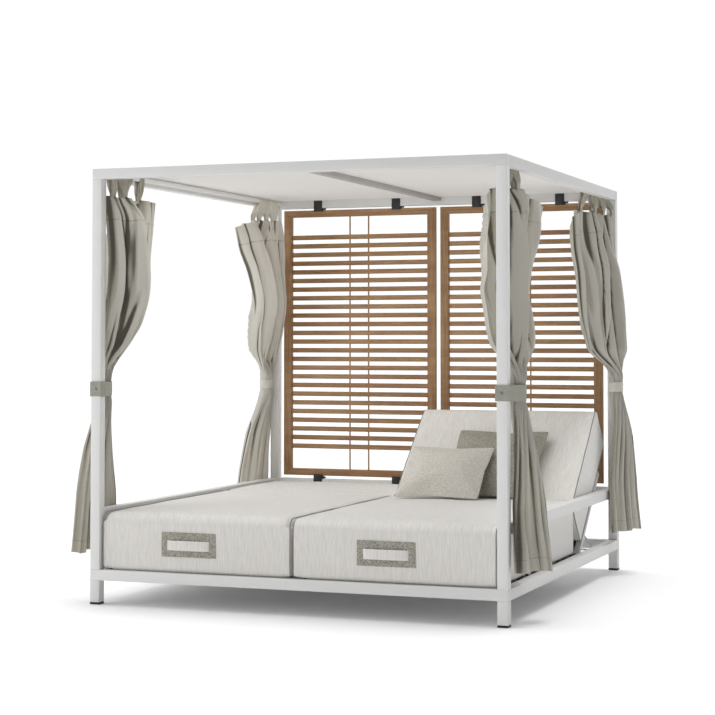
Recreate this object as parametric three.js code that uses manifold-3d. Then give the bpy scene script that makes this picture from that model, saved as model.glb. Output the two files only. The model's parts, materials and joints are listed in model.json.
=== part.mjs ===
import * as THREE from "three";
import { ConvexGeometry } from "three/addons/geometries/ConvexGeometry.js";
import { mergeVertices } from "three/addons/utils/BufferGeometryUtils.js";
import Module from "manifold-3d";

const wasm = await Module();
wasm.setup();

// Outdoor daybed for two with a canopy. Sizes are in millimetres: X to the right, Y to the back, Z up.

// Metal frame of square tube
const FRAME_WIDTH = 2075;
const FRAME_DEPTH = 2210;
const FRAME_HEIGHT = 2087;
const TUBE = 50;
const TUBE_WALL = 2;
const LEG_HEIGHT = 115;
const FOOT_CAP_HEIGHT = 10;
const FOOT_PLUG_LENGTH = 20;
const ARM_RAIL_TOP = 453;
const WEEP_HOLE_RADIUS = 4;
const WEEP_HOLE_INSET = 80;
const CROSS_BAR_HEIGHT = 22;
const CROSS_BAR_DROP = 5.5;
const ROOF_FABRIC_THICKNESS = 3;

// Curtain rods along the inner faces of the roof's side beams
const ROD_RADIUS = 12.5;
const ROD_CLEARANCE = 5;
const ROD_DROP = 22.5;
const ROD_FLANGE_RADIUS = 17;
const ROD_FLANGE_THICKNESS = 4;

// Slatted decks and the ledges that carry them
const DECK_RISE = 2;
const SLAT_GAP = 33;
const SLAT_THICKNESS = 15;
const DECK_SLATS = 10;
const DECK_PLAY = 2.5;
const DECK_FRONT_GAP = 52;
const DECK_END_TO_HINGE = 71;
const RUNNER_WIDTH = 30;
const RUNNER_HEIGHT = 12;
const RUNNER_REACH = 300;
const LEDGE_WIDTH = 20;
const LEDGE_THICKNESS = 5;

// Hinged backrest frames
const HINGE_TO_BACK = 690;
const BACKREST_LENGTH = 588;
const BACKREST_ANGLE = 41.5;
const BACKREST_PLAY = 4.5;
const BACKREST_SLATS = 4;
const SUPPORT_TUBE_WIDTH = 30;
const SUPPORT_TUBE_HEIGHT = 25;
const AXLE_RADIUS = 8;
const HINGE_LUG_REACH = 16;
const HINGE_LUG_THICKNESS = 4;
const FITTING_WIDTH = 12.5;
const REST_LEDGE_START = 45;
const REST_LEDGE_LENGTH = 290;

// Stays that prop the backrest frames up on notched racks
const STAY_PIVOT_ALONG = 174;
const STAY_PIVOT_DROP = 20.5;
const STAY_LENGTH = 290;
const STAY_RADIUS = 5;
const STAY_PIN_RADIUS = 3.5;
const STAY_PIN_OVERHANG = 3;
const STAY_LUG_THICKNESS = 4;
const STAY_LUG_RADIUS = 8;
const FOOT_BAR_PLAY = 2;
const RACK_CLEARANCE = 2;
const RACK_HEIGHT = 10;
const RACK_MARGIN = 12;
const RACK_NOTCHES = 4;
const NOTCH_WIDTH = 11;
const NOTCH_DEPTH = 5;
const NOTCH_PITCH = 18;

// Cushions
const CUSHION_SIDE_GAP = 9.5;
const CUSHION_SPLIT = 16;
const CUSHION_HEIGHT = 272;
const CUSHION_EDGE = 60;
const CUSHION_CROWN = 10;
const CUSHION_DRAW_IN = 4;
const SEAT_FRONT_INSET = 15;
const SEAT_TO_BACK_GAP = 6;
const SEAT_OVERHANG = 110;
const BACK_CUSHION_LENGTH = 714;
const CUSHION_SLIDE = 175;

// Sewn patch with a pull strap on the front of each seat cushion
const PATCH_WIDTH = 281;
const PATCH_HEIGHT = 114;
const PATCH_THICKNESS = 2;
const PATCH_TOP_DROP = 84;
const PATCH_SHIFT = 29;
const STRAP_WIDTH = 217;
const STRAP_HEIGHT = 46;
const STRAP_THICKNESS = 4;
const STRAP_TOP_DROP = 37;

// Throw pillows: size, place on the raised cushion and lean towards it
const REAR_PILLOW = { width: 490, height: 490, thickness: 110, side: 37, up: 297, lean: 0 };
const FRONT_PILLOW = { width: 450, height: 390, thickness: 100, side: -191, up: 131, lean: -3 };
const REAR_PILLOW_SETTLE = 1.8;
const PILLOW_NEST = 13;
const PILLOW_OUTLINE_POWER = 5;
const PILLOW_SIDES = 24;
const PILLOW_RINGS = 8;
const PILLOW_PINCH_SHARE = 0.05;

// Louvre panels at the back and the clips that hold them
const PANEL_SIDE_GAP = 30.5;
const PANEL_SPLIT = 30;
const PANEL_BOTTOM_GAP = 18;
const PANEL_TOP_GAP = 11;
const PANEL_DEPTH = 28;
const STILE_WIDTH = 49;
const PANEL_RAIL_HEIGHT = 40;
const LOUVRE_SLATS = 25;
const LOUVRE_TOP_GAP = 120;
const LOUVRE_BOTTOM_GAP = 131;
const LOUVRE_SLAT_HEIGHT = 21;
const LOUVRE_SLAT_DEPTH = 12;
const LOUVRE_ROD_RADIUS = 4;
const LOUVRE_ROD_REACH = 58;
const CLIP_WIDTH = 52;
const CLIP_THICKNESS = 4;
const CLIP_REACH = 243;
const CLIP_SHIFT = 7;
const TOP_CLIP_LAP = 44;
const TOP_CLIP_LIP = 8;
const BOTTOM_CLIP_LAP = 45;
const BOTTOM_CLIP_LIP = 8;
const CLIP_PIN_RADIUS = 4.5;
const CLIP_PIN_LENGTH = 22;
const CLIP_PIN_DEPTH = 12;

// Tied-back curtains: how far each header runs along its rod
const HEADER_RUNS = { left_front: 510, left_back: 610, right_front: 600, right_back: 610 };
const HEADER_POST_GAP = 7;
const HEADER_DROP = 127;
const HEADER_HALF_THICKNESS = 7;
const HEADER_WAVE = 13;
const SPREAD_DROP = 400;
const SPREAD_WAVE = 19;
const SPREAD_HALF_THICKNESS = 10;
const SPREAD_WIDTH_SHARE = 0.36;
const GATHER_RISE = 154;
const GATHER_WIDTH_SHARE = 0.1;
const GATHER_PATH_SHARE = 0.6;
const GATHER_HALF_THICKNESS = 34;
const WAIST_RADIUS = 37;
const WAIST_OFFSET = 7.5;
const FRONT_WAIST_INSET = 90;
const BACK_WAIST_INSET = 45;
const FRONT_WAIST_HEIGHT = 1026;
const BACK_WAIST_HEIGHT = 1006;
const SKIRT_HALF_THICKNESS = 36;
const SKIRT_HALF_WIDTH = 75;
const SKIRT_RAIL_GAP = 12;
const HEM_HALF_THICKNESS = 58;
const HEM_HALF_WIDTH = 112;
const HEM_HEIGHT = 235;
const TAB_COUNT = 5;
const TAB_WIDTH = 28;
const TAB_THICKNESS = 2.5;
const TAB_FOOT = 14;
const TIEBACK_HEIGHT = 70;
const TIEBACK_THICKNESS = 3;
const BACK_TIEBACK_HEIGHT = 52;
const BUTTON_RADIUS = 8;
const BUTTON_HEIGHT = 3;

// Shared clearances and mesh fineness
const GAP = 0.3;
const LOOSE_GAP = 0.5;
const EMBED = 1;
const OVERRUN = 10;
const MERGE_DISTANCE = 1e-4;
const ROUND_SIDES = 16;
const SMALL_SIDES = 10;
const LOUVRE_ROD_SIDES = 4;
const CURTAIN_POINTS = 30;
const CURTAIN_STEPS = 2;
const FOLD_COUNT = 4;
const LOBE_COUNT = 8;
const LOBE_DEPTH_SHARE = 0.18;

const FINISHES = {
  frame: { color: "#d6d6d8", roughness: 0.45, metalness: 0.1 },
  plastic: { color: "#1e1e1f", roughness: 0.6, metalness: 0 },
  stay: { color: "#b9babb", roughness: 0.4, metalness: 0.8 },
  deck: { color: "#cfcfcf", roughness: 0.5, metalness: 0.1 },
  teak: { color: "#a3794f", roughness: 0.6, metalness: 0 },
  roof: { color: "#cfccc6", roughness: 0.9, metalness: 0 },
  curtain: { color: "#b5b1a2", roughness: 0.95, metalness: 0 },
  cushion: { color: "#d8d5cf", roughness: 0.95, metalness: 0 },
  patch: { color: "#b3b1a3", roughness: 0.95, metalness: 0 },
  light_pillow: { color: "#c8c4b6", roughness: 0.95, metalness: 0 },
  dark_pillow: { color: "#97958a", roughness: 0.95, metalness: 0 },
};
const SOFT = ["curtain", "cushion", "light_pillow", "dark_pillow"];

// Places that follow from the sizes above
const SIDES = { left: -1, right: 1 };
const ENDS = { front: -1, back: 1 };
const outerX = FRAME_WIDTH / 2;
const innerX = outerX - TUBE;
const outerY = FRAME_DEPTH / 2;
const innerY = outerY - TUBE;
const ringTop = LEG_HEIGHT + TUBE;
const roofUnderside = FRAME_HEIGHT - TUBE;
const crossBarTop = FRAME_HEIGHT - CROSS_BAR_DROP;
const rodX = innerX - ROD_CLEARANCE - ROD_RADIUS;
const rodZ = FRAME_HEIGHT - ROD_DROP;
const bedHalf = (innerX - TUBE / 2) / 2;
const bedCentre = TUBE / 2 + bedHalf;
const deckTop = ringTop + DECK_RISE;
const deckUnderside = deckTop - SLAT_THICKNESS;
const hingeY = outerY - HINGE_TO_BACK;
const deckEnd = hingeY - DECK_END_TO_HINGE;
const deckFront = DECK_FRONT_GAP - innerY;
const slatPitch = (deckEnd - deckFront + SLAT_GAP) / DECK_SLATS;
const slatWidth = slatPitch - SLAT_GAP;
const hingeZ = deckTop - SUPPORT_TUBE_HEIGHT / 2;
const seatFront = -outerY + SEAT_FRONT_INSET;
const seatEnd = hingeY - SEAT_OVERHANG;
const cushionWidth = innerX - CUSHION_SIDE_GAP - CUSHION_SPLIT / 2;
const cushionCentre = (CUSHION_SPLIT + cushionWidth) / 2 - bedCentre;
const footAxisZ = hingeZ - STAY_PIVOT_DROP;

function radians(degrees) {
  return THREE.MathUtils.degToRad(degrees);
}

// Height of the stay's pivot over the level that its foot bar keeps, with the backrest at an angle
function stayRise(angle) {
  const lift = STAY_PIVOT_ALONG * Math.sin(angle) - STAY_PIVOT_DROP * Math.cos(angle);
  return lift + STAY_PIVOT_DROP;
}

// Turn of the stay about its pivot, seen from the backrest
function stayTurn(angle) {
  return -Math.asin(stayRise(angle) / STAY_LENGTH) - angle;
}

function footBarY(angle) {
  const pivot = STAY_PIVOT_ALONG * Math.cos(angle) + STAY_PIVOT_DROP * Math.sin(angle);
  const reach = Math.sqrt(STAY_LENGTH ** 2 - stayRise(angle) ** 2);
  return hingeY + pivot + reach;
}

// Solid shapes
function block(...spans) {
  const sizes = spans.map(([low, high]) => Math.abs(high - low));
  const middles = spans.map(([low, high]) => (low + high) / 2);
  return new THREE.BoxGeometry(...sizes).translate(...middles);
}

function rod(from, to, radius, sides = ROUND_SIDES) {
  const start = new THREE.Vector3(...from);
  const end = new THREE.Vector3(...to);
  const run = end.clone().sub(start);
  const up = new THREE.Vector3(0, 1, 0);
  const turn = new THREE.Quaternion().setFromUnitVectors(up, run.clone().normalize());
  const middle = start.add(end).divideScalar(2);
  const cylinder = new THREE.CylinderGeometry(radius, radius, run.length(), sides);
  return cylinder.applyQuaternion(turn).translate(...middle.toArray());
}

function sharedVertices(geometry) {
  const plain = geometry.clone();
  plain.deleteAttribute("normal");
  plain.deleteAttribute("uv");
  return mergeVertices(plain, MERGE_DISTANCE);
}

function solidOf(geometry) {
  const shared = sharedVertices(geometry);
  const vertProperties = shared.attributes.position.array;
  const triVerts = new Uint32Array(shared.index.array);
  return new wasm.Manifold(new wasm.Mesh({ numProp: 3, vertProperties, triVerts }));
}

function geometryOf(solid) {
  const made = solid.getMesh();
  const geometry = new THREE.BufferGeometry();
  geometry.setAttribute("position", new THREE.BufferAttribute(made.vertProperties, made.numProp));
  geometry.setIndex(new THREE.BufferAttribute(made.triVerts, 1));
  return geometry;
}

function joined(pieces) {
  return geometryOf(pieces.map(solidOf).reduce((whole, piece) => whole.add(piece)));
}

function cutAway(geometry, cutters) {
  return geometryOf(cutters.map(solidOf).reduce((rest, cutter) => rest.subtract(cutter), solidOf(geometry)));
}

// A mirrored copy, with its faces turned to point out again
function mirrored(geometry, x, y) {
  const copy = sharedVertices(geometry).scale(x, y, 1);
  if (x * y > 0) return copy;
  const corners = copy.index.array;
  for (let i = 0; i < corners.length; i += 3) {
    const second = corners[i + 1];
    corners[i + 1] = corners[i + 2];
    corners[i + 2] = second;
  }
  return copy;
}

function add(parent, name, geometry, finish) {
  const soft = SOFT.includes(finish);
  const shown = sharedVertices(geometry);
  shown.computeVertexNormals();
  const material = new THREE.MeshStandardMaterial({ ...FINISHES[finish], flatShading: !soft });
  const mesh = new THREE.Mesh(shown, material);
  mesh.name = name;
  parent.add(mesh);
  return mesh;
}

function group(parent, x, y, z, turn = 0) {
  const made = new THREE.Group();
  made.position.set(x, y, z);
  made.rotation.x = turn;
  parent.add(made);
  return made;
}

// Span of a pair of distances on the side of a sign
function sided(sign, near, far) {
  return [sign * near, sign * far];
}

// Frame tubes: open where both ends butt against other tubes
const AXES = { x: 0, y: 1, z: 2 };

function boreOf(spans, axis, endReach) {
  return block(
    ...spans.map(([a, b], i) => {
      const low = Math.min(a, b);
      const high = Math.max(a, b);
      return i === AXES[axis] ? [low - endReach, high + endReach] : [low + TUBE_WALL, high - TUBE_WALL];
    }),
  );
}

function openTube(axis, ...spans) {
  return cutAway(block(...spans), [boreOf(spans, axis, OVERRUN)]);
}

// A tube across the front or back, with end plates and a weep hole underneath at each end
function platedTube(ySpan, zSpan) {
  const spans = [[-outerX, outerX], ySpan, zSpan];
  const middle = (ySpan[0] + ySpan[1]) / 2;
  const holes = Object.values(SIDES).map((side) => {
    const x = side * (outerX - WEEP_HOLE_INSET);
    const below = [x, middle, zSpan[0] - OVERRUN];
    return rod(below, [x, middle, zSpan[0] + OVERRUN], WEEP_HOLE_RADIUS, SMALL_SIDES);
  });
  return cutAway(block(...spans), [boreOf(spans, "x", -TUBE_WALL), ...holes]);
}

// What is welded to the face of a side rail or of the centre beam, towards the bed
function deckLedge(reach) {
  return block(reach(LEDGE_WIDTH), [-innerY, deckEnd], [deckUnderside - LEDGE_THICKNESS, deckUnderside]);
}

function restLedge(reach) {
  const top = hingeZ - SUPPORT_TUBE_HEIGHT / 2 - GAP;
  const start = hingeY + REST_LEDGE_START;
  return block(reach(FITTING_WIDTH), [start, start + REST_LEDGE_LENGTH], [top - LEDGE_THICKNESS, top]);
}

function hingeLug(reach) {
  const face = reach(0)[0];
  const plate = block(
    reach(HINGE_LUG_THICKNESS),
    [hingeY - HINGE_LUG_REACH, hingeY + HINGE_LUG_REACH],
    [hingeZ - HINGE_LUG_REACH, hingeZ + HINGE_LUG_REACH],
  );
  const bore = rod([face - OVERRUN, hingeY, hingeZ], [face + OVERRUN, hingeY, hingeZ], AXLE_RADIUS + GAP);
  return cutAway(plate, [bore]);
}

function rack(reach) {
  const top = footAxisZ - STAY_RADIUS - RACK_CLEARANCE;
  const first = footBarY(radians(BACKREST_ANGLE));
  const last = first + (RACK_NOTCHES - 1) * NOTCH_PITCH;
  const along = [first - RACK_MARGIN, last + RACK_MARGIN];
  const bar = block(reach(FITTING_WIDTH), along, [top - RACK_HEIGHT, top]);
  const wide = reach(FITTING_WIDTH + OVERRUN);
  const notches = Array.from({ length: RACK_NOTCHES }, (_, k) => {
    const middle = first + k * NOTCH_PITCH;
    const across = [2 * wide[0] - wide[1], wide[1]];
    const notch = [middle - NOTCH_WIDTH / 2, middle + NOTCH_WIDTH / 2];
    return block(across, notch, [top - NOTCH_DEPTH, top + OVERRUN]);
  });
  return cutAway(bar, notches);
}

function bedFittings(face, towardsBed) {
  const reach = (distance) => [face, face + towardsBed * distance];
  return [deckLedge(reach), restLedge(reach), hingeLug(reach), rack(reach)];
}

function addBaseRing(parent) {
  const level = [LEG_HEIGHT, ringTop];
  for (const [end, sign] of Object.entries(ENDS))
    add(parent, `base_${end}_rail`, platedTube(sided(sign, innerY, outerY), level), "frame");
  for (const [side, sign] of Object.entries(SIDES)) {
    const rail = openTube("y", sided(sign, innerX, outerX), [-innerY, innerY], level);
    const whole = joined([rail, ...bedFittings(sign * innerX, -sign)]);
    add(parent, `base_${side}_rail`, whole, "frame");
  }
  const beam = openTube("y", [-TUBE / 2, TUBE / 2], [-innerY, innerY], level);
  const fittings = Object.values(SIDES).flatMap((sign) => bedFittings((sign * TUBE) / 2, sign));
  add(parent, "base_centre_beam", joined([beam, ...fittings]), "frame");
}

// Legs, feet and posts stand at the four corners
function footCap(xSpan, ySpan) {
  const inset = TUBE_WALL + GAP;
  const within = ([a, b]) => [Math.min(a, b) + inset, Math.max(a, b) - inset];
  const pad = block(xSpan, ySpan, [0, FOOT_CAP_HEIGHT]);
  const plugLevel = [FOOT_CAP_HEIGHT - EMBED, FOOT_CAP_HEIGHT + FOOT_PLUG_LENGTH];
  const plug = block(within(xSpan), within(ySpan), plugLevel);
  return joined([pad, plug]);
}

function addCorners(parent) {
  for (const [end, endSign] of Object.entries(ENDS))
    for (const [side, sideSign] of Object.entries(SIDES)) {
      const corner = `${side}_${end}`;
      const spans = [sided(sideSign, innerX, outerX), sided(endSign, innerY, outerY)];
      add(parent, `${corner}_foot_cap`, footCap(...spans), "plastic");
      add(parent, `${corner}_leg`, openTube("z", ...spans, [FOOT_CAP_HEIGHT, LEG_HEIGHT]), "frame");
      add(parent, `${corner}_post`, openTube("z", ...spans, [ringTop, roofUnderside]), "frame");
    }
}

function addRails(parent) {
  const level = [ARM_RAIL_TOP - TUBE, ARM_RAIL_TOP];
  for (const [side, sign] of Object.entries(SIDES)) {
    const rail = openTube("y", sided(sign, innerX, outerX), [-innerY, innerY], level);
    add(parent, `${side}_arm_rail`, rail, "frame");
  }
  add(parent, "upper_back_rail", openTube("x", [-innerX, innerX], [innerY, outerY], level), "frame");
}

// Roof: four beams, a flat cross bar and the fabric between the beams
function curtainRod() {
  const ends = Object.values(ENDS).map((end) => [rodX, end * innerY, rodZ]);
  const flanges = ends.map(([x, y, z]) => {
    const within = y - Math.sign(y) * ROD_FLANGE_THICKNESS;
    return rod([x, within, z], [x, y, z], ROD_FLANGE_RADIUS);
  });
  return joined([rod(ends[0], ends[1], ROD_RADIUS), ...flanges]);
}

function addRoof(parent) {
  const level = [roofUnderside, FRAME_HEIGHT];
  for (const [end, sign] of Object.entries(ENDS))
    add(parent, `roof_${end}_beam`, platedTube(sided(sign, innerY, outerY), level), "frame");
  for (const [side, sign] of Object.entries(SIDES)) {
    const beam = openTube("y", sided(sign, innerX, outerX), [-innerY, innerY], level);
    add(parent, `roof_${side}_beam`, beam, "frame");
    add(parent, `${side}_curtain_rod`, mirrored(curtainRod(), sign, 1), "frame");
  }
  const barLevel = [crossBarTop - CROSS_BAR_HEIGHT, crossBarTop];
  const bar = openTube("y", [-TUBE / 2, TUBE / 2], [-innerY, innerY], barLevel);
  add(parent, "roof_cross_bar", bar, "frame");
  const x = innerX - GAP;
  const y = innerY - GAP;
  const underside = crossBarTop + GAP;
  const sheet = block([-x, x], [-y, y], [underside, underside + ROOF_FABRIC_THICKNESS]);
  add(parent, "roof_fabric", sheet, "roof");
}

// Seat deck: a row of slats on two runners, lying on the ledges
function deckForm() {
  const x = bedHalf - DECK_PLAY;
  const slats = Array.from({ length: DECK_SLATS }, (_, k) => {
    const front = deckFront + k * slatPitch;
    return block([-x, x], [front, front + slatWidth], [deckUnderside, deckTop]);
  });
  const runners = Object.values(SIDES).map((side) => {
    const middle = side * RUNNER_REACH;
    const across = [middle - RUNNER_WIDTH / 2, middle + RUNNER_WIDTH / 2];
    return block(across, [deckFront, deckEnd], [deckUnderside - RUNNER_HEIGHT, deckUnderside + EMBED]);
  });
  return joined([...slats, ...runners]);
}

// Backrest frame about its hinge axis: Y runs along the frame, Z away from its slats' underside
const supportX = bedHalf - BACKREST_PLAY;
const supportHalf = SUPPORT_TUBE_HEIGHT / 2;
const stayLugX = supportX - SUPPORT_TUBE_WIDTH / 2;
const stayArmX = stayLugX - STAY_LUG_THICKNESS / 2 - LOOSE_GAP - STAY_RADIUS;

function stayLug(side) {
  const x = sided(side, stayLugX - STAY_LUG_THICKNESS / 2, stayLugX + STAY_LUG_THICKNESS / 2);
  const pivot = [STAY_PIVOT_ALONG, -STAY_PIVOT_DROP];
  const along = [pivot[0] - STAY_LUG_RADIUS, pivot[0] + STAY_LUG_RADIUS];
  const plate = block(x, along, [pivot[1] - STAY_LUG_RADIUS, -supportHalf + EMBED]);
  const start = [x[0] - side * OVERRUN, ...pivot];
  const end = [x[1] + side * OVERRUN, ...pivot];
  return cutAway(plate, [rod(start, end, STAY_PIN_RADIUS + GAP)]);
}

function backrestForm() {
  const height = [-supportHalf, supportHalf];
  const pieces = [];
  for (const side of Object.values(SIDES)) {
    const tube = sided(side, supportX - SUPPORT_TUBE_WIDTH, supportX);
    pieces.push(block(tube, [-supportHalf, BACKREST_LENGTH], height));
    pieces.push(rod([side * (supportX - EMBED), 0, 0], [side * (bedHalf - GAP), 0, 0], AXLE_RADIUS));
    pieces.push(stayLug(side));
  }
  const across = [-supportX + EMBED, supportX - EMBED];
  pieces.push(block(across, height, height));
  pieces.push(block(across, [BACKREST_LENGTH - SUPPORT_TUBE_HEIGHT, BACKREST_LENGTH], height));
  const rowLength = BACKREST_SLATS * slatPitch - SLAT_GAP;
  const between = BACKREST_LENGTH - SUPPORT_TUBE_HEIGHT + supportHalf;
  for (let k = 0; k < BACKREST_SLATS; k += 1) {
    const start = (between - rowLength) / 2 + k * slatPitch;
    pieces.push(block(across, [start, start + slatWidth], [supportHalf - SLAT_THICKNESS, supportHalf]));
  }
  return joined(pieces);
}

// Stay about its pivot: two arms, the foot bar across them and a pin in each lug
function stayForm() {
  const pieces = [];
  for (const side of Object.values(SIDES)) {
    const x = side * stayArmX;
    pieces.push(rod([x, -STAY_RADIUS, 0], [x, STAY_LENGTH + STAY_RADIUS, 0], STAY_RADIUS, SMALL_SIDES));
    const pinEnd = side * (stayLugX + STAY_LUG_THICKNESS / 2 + STAY_PIN_OVERHANG);
    pieces.push(rod([x, 0, 0], [pinEnd, 0, 0], STAY_PIN_RADIUS, SMALL_SIDES));
  }
  const foot = bedHalf - FOOT_BAR_PLAY;
  pieces.push(rod([-foot, STAY_LENGTH, 0], [foot, STAY_LENGTH, 0], STAY_RADIUS, SMALL_SIDES));
  return joined(pieces);
}

// Cushion: a box with round edges, a crowned top and sides drawn in between the corners
const CUSHION_CELLS = [8, 8, 6];
const EDGE_CELLS = 2;

function spread(value, half, cells) {
  const share = Math.abs(value) / half;
  const inner = 1 - (2 * EDGE_CELLS) / cells;
  const flat = half - CUSHION_EDGE;
  const beyond = Math.max(share - inner, 0) / (1 - inner);
  const placed = inner > 0 ? Math.min(share / inner, 1) * flat + beyond * CUSHION_EDGE : 0;
  return Math.sign(value) * placed;
}

function rounded(point, halves) {
  const core = point.clone().clamp(
    halves.clone().negate().addScalar(CUSHION_EDGE),
    halves.clone().addScalar(-CUSHION_EDGE),
  );
  const out = point.clone().sub(core);
  return core.add(out.setLength(CUSHION_EDGE));
}

function cushionForm(length) {
  const sizes = [cushionWidth, length, CUSHION_HEIGHT];
  const halves = new THREE.Vector3(...sizes).divideScalar(2);
  const form = sharedVertices(new THREE.BoxGeometry(...sizes, ...CUSHION_CELLS));
  const places = form.attributes.position;
  for (let i = 0; i < places.count; i += 1) {
    const raw = [places.getX(i), places.getY(i), places.getZ(i)];
    const placed = raw.map((value, axis) => spread(value, halves.toArray()[axis], CUSHION_CELLS[axis]));
    const point = rounded(new THREE.Vector3(...placed), halves);
    const across = 1 - (point.x / halves.x) ** 2;
    const along = 1 - (point.y / halves.y) ** 2;
    if (point.z > 0) point.z += (CUSHION_CROWN * across * along * point.z) / halves.z;
    point.x -= (CUSHION_DRAW_IN * along * point.x) / halves.x;
    places.setXYZ(i, ...point.toArray());
  }
  return form;
}

function addSeat(parent, side) {
  const middle = [cushionCentre, (seatFront + seatEnd) / 2, deckTop + GAP + CUSHION_HEIGHT / 2];
  const cushion = cushionForm(seatEnd - seatFront).translate(middle[0] * side, middle[1], middle[2]);
  add(parent, `${side < 0 ? "left" : "right"}_seat_cushion`, cushion, "cushion");
}

// Patch and pull strap lie on the front face, below the cushion's top
function handleForm(side) {
  const middle = side * cushionCentre - PATCH_SHIFT;
  const top = deckTop + GAP + CUSHION_HEIGHT - PATCH_TOP_DROP;
  const back = seatFront - GAP;
  const front = back - PATCH_THICKNESS;
  const spanOf = (width) => [middle - width / 2, middle + width / 2];
  const patch = block(spanOf(PATCH_WIDTH), [back, front], [top - PATCH_HEIGHT, top]);
  const strapTop = top - STRAP_TOP_DROP;
  const strapDepth = [front + EMBED, front - STRAP_THICKNESS];
  const strap = block(spanOf(STRAP_WIDTH), strapDepth, [strapTop - STRAP_HEIGHT, strapTop]);
  return joined([patch, strap]);
}

// Pillow: a ball flattened to a lens, with a squarish outline and pinched sides
function pillowForm({ width, height, thickness }) {
  const form = sharedVertices(new THREE.SphereGeometry(1, PILLOW_SIDES, PILLOW_RINGS).rotateX(Math.PI / 2));
  const places = form.attributes.position;
  for (let i = 0; i < places.count; i += 1) {
    const [x, y, z] = [places.getX(i), places.getY(i), places.getZ(i)];
    const out = Math.hypot(x, y);
    const power = PILLOW_OUTLINE_POWER;
    const square = out === 0 ? 1 : out / (Math.abs(x) ** power + Math.abs(y) ** power) ** (1 / power);
    const across = x * square;
    const along = y * square;
    const pinchX = 1 - PILLOW_PINCH_SHARE * (1 - along ** 2);
    const pinchY = 1 - PILLOW_PINCH_SHARE * (1 - across ** 2);
    places.setXYZ(i, (across * width * pinchX) / 2, (along * height * pinchY) / 2, (z * thickness) / 2);
  }
  return form;
}

function addPillow(parent, name, pillow, floor, finish) {
  const lift = floor + pillow.thickness / 2;
  const holder = group(parent, pillow.side, pillow.up - CUSHION_SLIDE, lift, radians(pillow.lean));
  add(holder, name, pillowForm(pillow), finish);
}

// One bed: deck, cushions, and the backrest with its stay, raised or flat
function addBed(parent, name, angle) {
  const side = SIDES[name];
  const bed = group(parent, side * bedCentre, 0, 0);
  add(bed, `${name}_seat_deck`, deckForm(), "deck");
  addSeat(bed, side);
  add(bed, `${name}_cushion_handle`, handleForm(side), "patch");
  const backrest = group(bed, 0, hingeY, hingeZ, angle);
  add(backrest, `${name}_backrest_frame`, backrestForm(), "stay");
  const stay = group(backrest, 0, STAY_PIVOT_ALONG, -STAY_PIVOT_DROP, stayTurn(angle));
  add(stay, `${name}_backrest_stay`, stayForm(), "stay");
  const slide = (CUSHION_SLIDE * angle) / radians(BACKREST_ANGLE);
  const cushion = group(backrest, 0, slide, supportHalf + GAP);
  const start = SEAT_TO_BACK_GAP - SEAT_OVERHANG;
  const form = cushionForm(BACK_CUSHION_LENGTH);
  form.translate(side * cushionCentre, start + BACK_CUSHION_LENGTH / 2, CUSHION_HEIGHT / 2);
  add(cushion, `${name}_back_cushion`, form, "cushion");
  return cushion;
}

function addPillows(cushion) {
  const rearFloor = CUSHION_HEIGHT + CUSHION_CROWN + GAP - REAR_PILLOW_SETTLE;
  addPillow(cushion, "rear_pillow", REAR_PILLOW, rearFloor, "dark_pillow");
  const frontFloor = rearFloor + REAR_PILLOW.thickness - PILLOW_NEST;
  addPillow(cushion, "front_pillow", FRONT_PILLOW, frontFloor, "light_pillow");
}

// Louvre panel about its own middle line
const panelHalf = (innerX - PANEL_SIDE_GAP - PANEL_SPLIT / 2) / 2;
const panelCentre = PANEL_SPLIT / 2 + panelHalf;
const panelY = (innerY + outerY) / 2;
const panelBottom = ARM_RAIL_TOP + PANEL_BOTTOM_GAP;
const panelTop = roofUnderside - PANEL_TOP_GAP;
const openHalf = panelHalf - STILE_WIDTH;
const openBottom = panelBottom + PANEL_RAIL_HEIGHT;
const openTop = panelTop - PANEL_RAIL_HEIGHT;
const louvreRun = openTop - LOUVRE_TOP_GAP - openBottom - LOUVRE_BOTTOM_GAP;

function louvreFrame() {
  const depth = [panelY - PANEL_DEPTH / 2, panelY + PANEL_DEPTH / 2];
  const through = [depth[0] - OVERRUN, depth[1] + OVERRUN];
  const board = block([-panelHalf, panelHalf], depth, [panelBottom, panelTop]);
  return cutAway(board, [block([-openHalf, openHalf], through, [openBottom, openTop])]);
}

function louvreSlats() {
  const depth = [panelY - LOUVRE_SLAT_DEPTH / 2, panelY + LOUVRE_SLAT_DEPTH / 2];
  const slats = Array.from({ length: LOUVRE_SLATS }, (_, k) => {
    const middle = openTop - LOUVRE_TOP_GAP - (k * louvreRun) / (LOUVRE_SLATS - 1);
    const height = [middle - LOUVRE_SLAT_HEIGHT / 2, middle + LOUVRE_SLAT_HEIGHT / 2];
    return block([-openHalf, openHalf], depth, height);
  });
  const rods = Object.values(SIDES).map((side) => {
    const x = side * LOUVRE_ROD_REACH;
    return rod([x, panelY, openBottom], [x, panelY, openTop], LOUVRE_ROD_RADIUS, LOUVRE_ROD_SIDES);
  });
  return joined([...slats, ...rods]);
}

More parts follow.
